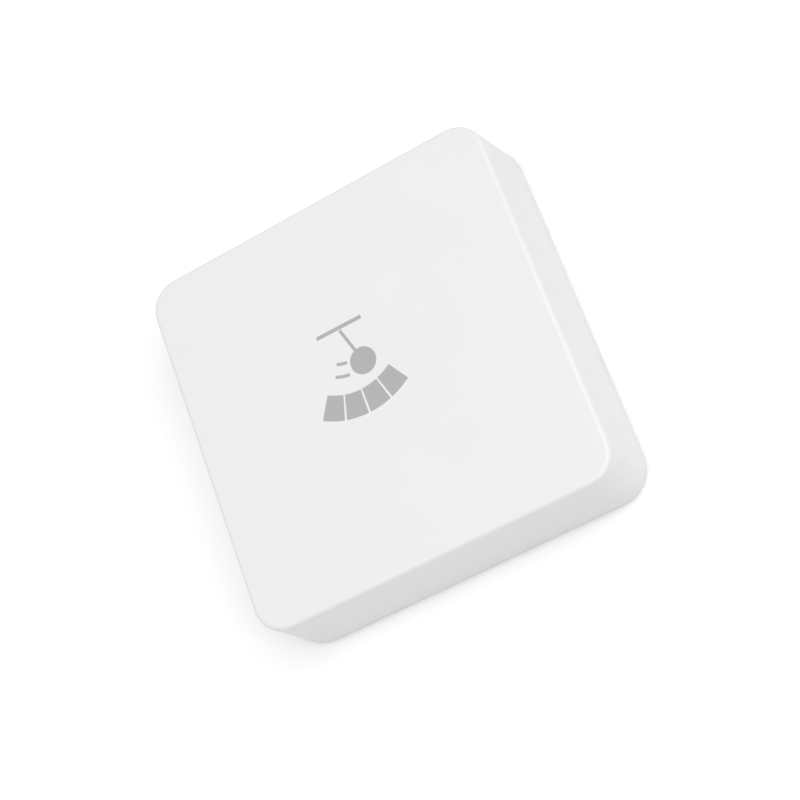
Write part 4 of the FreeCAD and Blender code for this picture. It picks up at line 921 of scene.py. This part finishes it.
NARROWER, HOLLOW, HOLLOW_RINGS = 0.03, 0.1, 6
lens_radius = (lens_high.x - lens_low.x) / 2 / MM - NARROWER
lens_foot, lens_top = CUP_FLOOR + NARROWER, lens_high.z / MM
top = bowed(lens_radius, lens_top, -HOLLOW, HOLLOW_RINGS)
section = [(0, lens_foot), (lens_radius, lens_foot), *reversed(top)]
turned_piece("lamp_lens", section, LAMP_X, LAMP_Y, resin, "led_lens")

# %% [markdown]
# Under the button's plunger is a shallow dome of thin spring steel. It snaps flat as the button
# goes down, which is the click that a finger feels. The CAD's dome is rigid, so the plunger would
# pass through it. A turned one takes its place, smooth above and below and of even thickness.

# %% Button's snap dome
SHEET, LEFT_WHEN_PRESSED, CROWN_RINGS = 0.1, 0.6, 8
dome_reach = (dome_high.x - dome_low.x) / 2 / MM
dome_foot, dome_peak = dome_low.z / MM, dome_high.z / MM - SHEET
crown = bowed(dome_reach, dome_foot, dome_peak - dome_foot, CROWN_RINGS)
section = crown + [(radius, height + SHEET) for radius, height in reversed(crown)]
dome_x, dome_y = dome_middle.x / MM, dome_middle.y / MM
snap_dome = turned_piece("snap_dome", section, dome_x, dome_y, dome_steel, "button_dome", is_sheet=True)
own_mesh(snap_dome)

# %% [markdown]
# The cell's can is etched with a plus sign and a fine ring near its edge. Etching leaves a matt grey
# that catches no highlight. The marks are thin bars on the steel. The plus is two bars, and one
# stands a hair higher, so that their tops don't coincide where they cross.

# %% Marks on the cell
etched = plated_with_tint("etched steel, matt", "#8C8D8F", "#9A9B9D", (0.6, 0.75), 0.1)
cell_x, cell_y, CAN_TOP = cell_middle.x / MM, cell_middle.y / MM, cell_high.z / MM
ETCHED_RING, PLUS_ARM = 9.6, 1.6
PLUS_Y = cell_y - 5.0
ring = circle(cell_x, cell_y, ETCHED_RING, 96)
level = [(cell_x - PLUS_ARM, PLUS_Y), (cell_x + PLUS_ARM, PLUS_Y)]
upright = [(cell_x, PLUS_Y - PLUS_ARM), (cell_x, PLUS_Y + PLUS_ARM)]
marks = [
    ("cell_ring", ring, True, 0.12, 0.02),
    ("cell_plus_level", level, False, 0.6, 0.02),
    ("cell_plus_upright", upright, False, 0.6, 0.03),
]
for name, route, closed, width, height in marks:
    traced(name, [route], CAN_TOP, width, height, etched, closed=closed)

# %% [markdown]
# Pins push the cover out of its mould and leave a round mark each on its inside. They are shallow
# discs on the ceiling, seen when the cover is off and looked at from below.

# %% Ejector marks inside the cover
CEILING = 11.4
EJECTORS = [(17.5, 18.5), (18.5, -18.5), (-18.5, -18.5), (-19.5, 9.0), (19.5, 4.0), (4.0, -18.5)]
marks = round_spots(EJECTORS, CEILING, 1.5, 0.04, turn=180)
ejected = copied("ejector_marks", marks, disc, cover_abs, "cover")

# %% [markdown]
# The print on the face is a generic sign for tilt: a weight on a thin rod hangs from a beam, swung
# to one side, with two short arcs behind it and a scale of four segments below. It is pad printed
# in grey ink, a film of about 0.01 mm. A picture on the face could show it, but its edge would blur
# in a close view, so it is a very thin mesh, whose arcs and disc are points round a middle.

# %% Print on the face
FACE_TOP = cad_box[1][2]
INK_FILM = 0.01 * MM
LAYER_STEP = 0.02  # of the film's height, so that no two tops coincide
PRINT_X, PRINT_Y = -1.3, 1.9
PIVOT_Y, SWING, HANG, DOWN = 5.2, 17.0, 5.2, -90.0
BOB, HALF_ROD, HALF_BEAM = 1.75, 0.2, 3.2


def arc_points(radius, start, end, steps):
    """Points on a circle about the pivot, in degrees from straight down."""
    angles = [start + (end - start) * k / steps for k in range(steps + 1)]
    return [moved(0.0, PIVOT_Y, DOWN + angle, radius) for angle in angles]


def band(inner, outer, start, end, steps=8):
    return arc_points(outer, start, end, steps) + arc_points(inner, end, start, steps)


segments = [band(8.2, 11.4, start, start + 15.0) for start in (-32.25, -15.75, 0.75, 17.25)]
trails = [band(radius, radius + 0.4, -26.0, -7.0) for radius in (4.1, 5.7)]
rod_ends = ((0, HALF_ROD), (0, -HALF_ROD), (HANG, -HALF_ROD), (HANG, HALF_ROD))
rod = [moved(0.0, PIVOT_Y, DOWN + SWING, out, side) for out, side in rod_ends]
bob = circle(*moved(0.0, PIVOT_Y, DOWN + SWING, HANG), BOB, 40)
beam = [(x, PIVOT_Y + y) for x, y in frame_round(0.0, 0.35, 2 * HALF_BEAM, 0.5)]
outlines = segments + trails + [rod, beam, bob]
maker = bmesh.new()
for layer, outline in enumerate(outlines):
    top = FACE_TOP + INK_FILM * (1 + LAYER_STEP * layer)
    spots = [((PRINT_X + x) * MM, (PRINT_Y + y) * MM) for x, y in outline]
    upper = [maker.verts.new((x, y, top)) for x, y in spots]
    lower = [maker.verts.new((x, y, FACE_TOP - INK_FILM)) for x, y in spots]
    maker.faces.new(upper)
    maker.faces.new(lower)
    add_wall(maker, lower, upper)
print_mesh = closed_mesh("face_print", maker)
grey_ink = moulded_plastic("grey pad-printing ink", "#B0B0B0", "#B4B4B4", 0.12, 0.001, (0.42, 0.52), 1.5)
print_mesh.materials.append(grey_ink)
placed("face_print", print_mesh, "cover")

# %% [markdown]
# The studio. The floor is white paper that takes the sensor's shadow. Paper under plain light comes
# out a little below white, so camera rays see a small glow on top of it, which lifts it to white
# and leaves the shadow in place. Far off, past the lamps' reach, that glow rises to full white, so
# that a low view has a white horizon too. The glow lights nothing.

# %% Floor
FLOOR_REACH, FIBRE = 2.0, 1.5
PAPER_GLOW, LAMPLIT, UNLIT = 0.12, 0.2, 0.8
floor_paper, tree, shader = new_material("white paper", Roughness=0.9, IOR=1.3)
point = add_node(tree, "ShaderNodeTexCoord").outputs["Object"]
fibres = add_node(tree, "ShaderNodeTexNoise", {"Vector": point, "Scale": 1 / (FIBRE * MM)})
two_tones(tree, shader, fibres, "#F9F9F9", "#FAFAFA")
reach = add_node(tree, "ShaderNodeVectorMath", {0: point}, operation="LENGTH").outputs["Value"]
rise = {"Value": reach, "From Min": LAMPLIT, "From Max": UNLIT, "To Min": PAPER_GLOW}
needed = add_node(tree, "ShaderNodeMapRange", rise)
camera_sees = add_node(tree, "ShaderNodeLightPath").outputs["Is Camera Ray"]
glow = add_node(tree, "ShaderNodeMath", {0: camera_sees, 1: needed}, operation="MULTIPLY")
shine = add_node(tree, "ShaderNodeEmission", {"Strength": glow})
show_instead(tree, add_node(tree, "ShaderNodeAddShader", {0: shader, 1: shine}))
floor_mesh = bpy.data.meshes.new("floor")
square = frame_round(0, 0, 2 * FLOOR_REACH, 2 * FLOOR_REACH)
floor_mesh.from_pydata([(x, y, 0) for x, y in square], [], [(0, 1, 2, 3)])
floor_mesh.materials.append(floor_paper)
floor = in_scene("floor", floor_mesh)
print("floor:", 2 * FLOOR_REACH, "m wide")

# %% [markdown]
# The room gives an even light from all round. The camera, mirrors and glass see it as white, with
# strength one. As a light it is weaker, so that there is room for the lamps below.

# %% Room
ROOM_LIGHT = 0.345
world = bpy.data.worlds.new("studio")
world.use_nodes = True
tree = world.node_tree
tree.nodes.clear()
rays = add_node(tree, "ShaderNodeLightPath").outputs
seen = rays["Is Camera Ray"]
for kind in ("Is Glossy Ray", "Is Transmission Ray"):
    seen = add_node(tree, "ShaderNodeMath", {0: seen, 1: rays[kind]}, operation="MAXIMUM")
level = add_node(tree, "ShaderNodeMapRange", {"Value": seen, "To Min": ROOM_LIGHT, "To Max": 1.0})
room = add_node(tree, "ShaderNodeBackground", {"Color": (1, 1, 1, 1), "Strength": level})
add_node(tree, "ShaderNodeOutputWorld", {"Surface": room})
bpy.context.scene.world = world
print("room light:", ROOM_LIGHT, "of white")

# %% [markdown]
# Six lamps. The main softbox hangs high, a little to the sensor's right. A long low strip on the
# right draws the thin bright line along the right edge, a short one further up does so round the
# near corner, and a faint one in front draws the near edge. The other two only fill the sides, so
# mirrors don't see them. A lamp's share is how much of a white card's brightness it gives, and the
# watts follow from its distance.

# %% Lamps
def softbox(name, at, share, width, height, mirrored=True):
    light = bpy.data.lights.new(name, "AREA")
    light.shape = "RECTANGLE"
    light.size, light.size_y = width, height
    place = Vector(at)
    light.energy = share * math.pi * math.pi * place.length_squared
    lamp = in_scene(name, light)
    lamp.location = place
    lamp.rotation_euler = place.to_track_quat("Z", "Y").to_euler()
    lamp.visible_glossy = mirrored
    print(name, round(light.energy, 2), "W")


softbox("main softbox", (0.44, 0.0, 1.2), 0.65, 1.2, 1.2)
softbox("right strip", (1.17, 0.16, 0.3), 0.044, 1.17, 0.05)
softbox("corner strip", (0.75, -0.70, 0.70), 0.03, 0.6, 0.05)
softbox("front strip", (-0.37, -0.42, 1.18), 0.036, 0.4, 0.05)
softbox("corner fill", (0.97, -0.58, 0.45), 0.035, 0.6, 0.5, mirrored=False)
softbox("left fill", (-0.8, 0.0, 0.8), 0.13, 0.7, 0.7, mirrored=False)

# %% [markdown]
# The camera looks down on the front face from the lower right, turned so that the sensor stands on
# its corner in the picture. Its place, turn and lens come from the outline of the case in the
# photograph: an 80 mm lens on a 36 mm sensor, 23 cm away.

# %% Camera
LENS, SENSOR = 80.55, 36
CAMERA_PLACE = (64.51, -76.19, 206.30)
RIGHT = (0.85404, -0.33614, -0.39701)
UP = (0.43401, 0.88116, 0.18758)
BACK = (0.28677, -0.33251, 0.89844)
camera_data = bpy.data.cameras.new("camera")
camera_data.sensor_width = SENSOR
camera_data.lens = LENS
camera = in_scene("camera", camera_data)
turn = Matrix((RIGHT, UP, BACK)).transposed().to_4x4()
camera.matrix_world = Matrix.Translation(Vector(CAMERA_PLACE) * MM) @ turn
bpy.context.scene.camera = camera
bpy.context.scene.view_settings.view_transform = "Standard"
print("camera:", LENS, "mm lens, in mm at", CAMERA_PLACE)
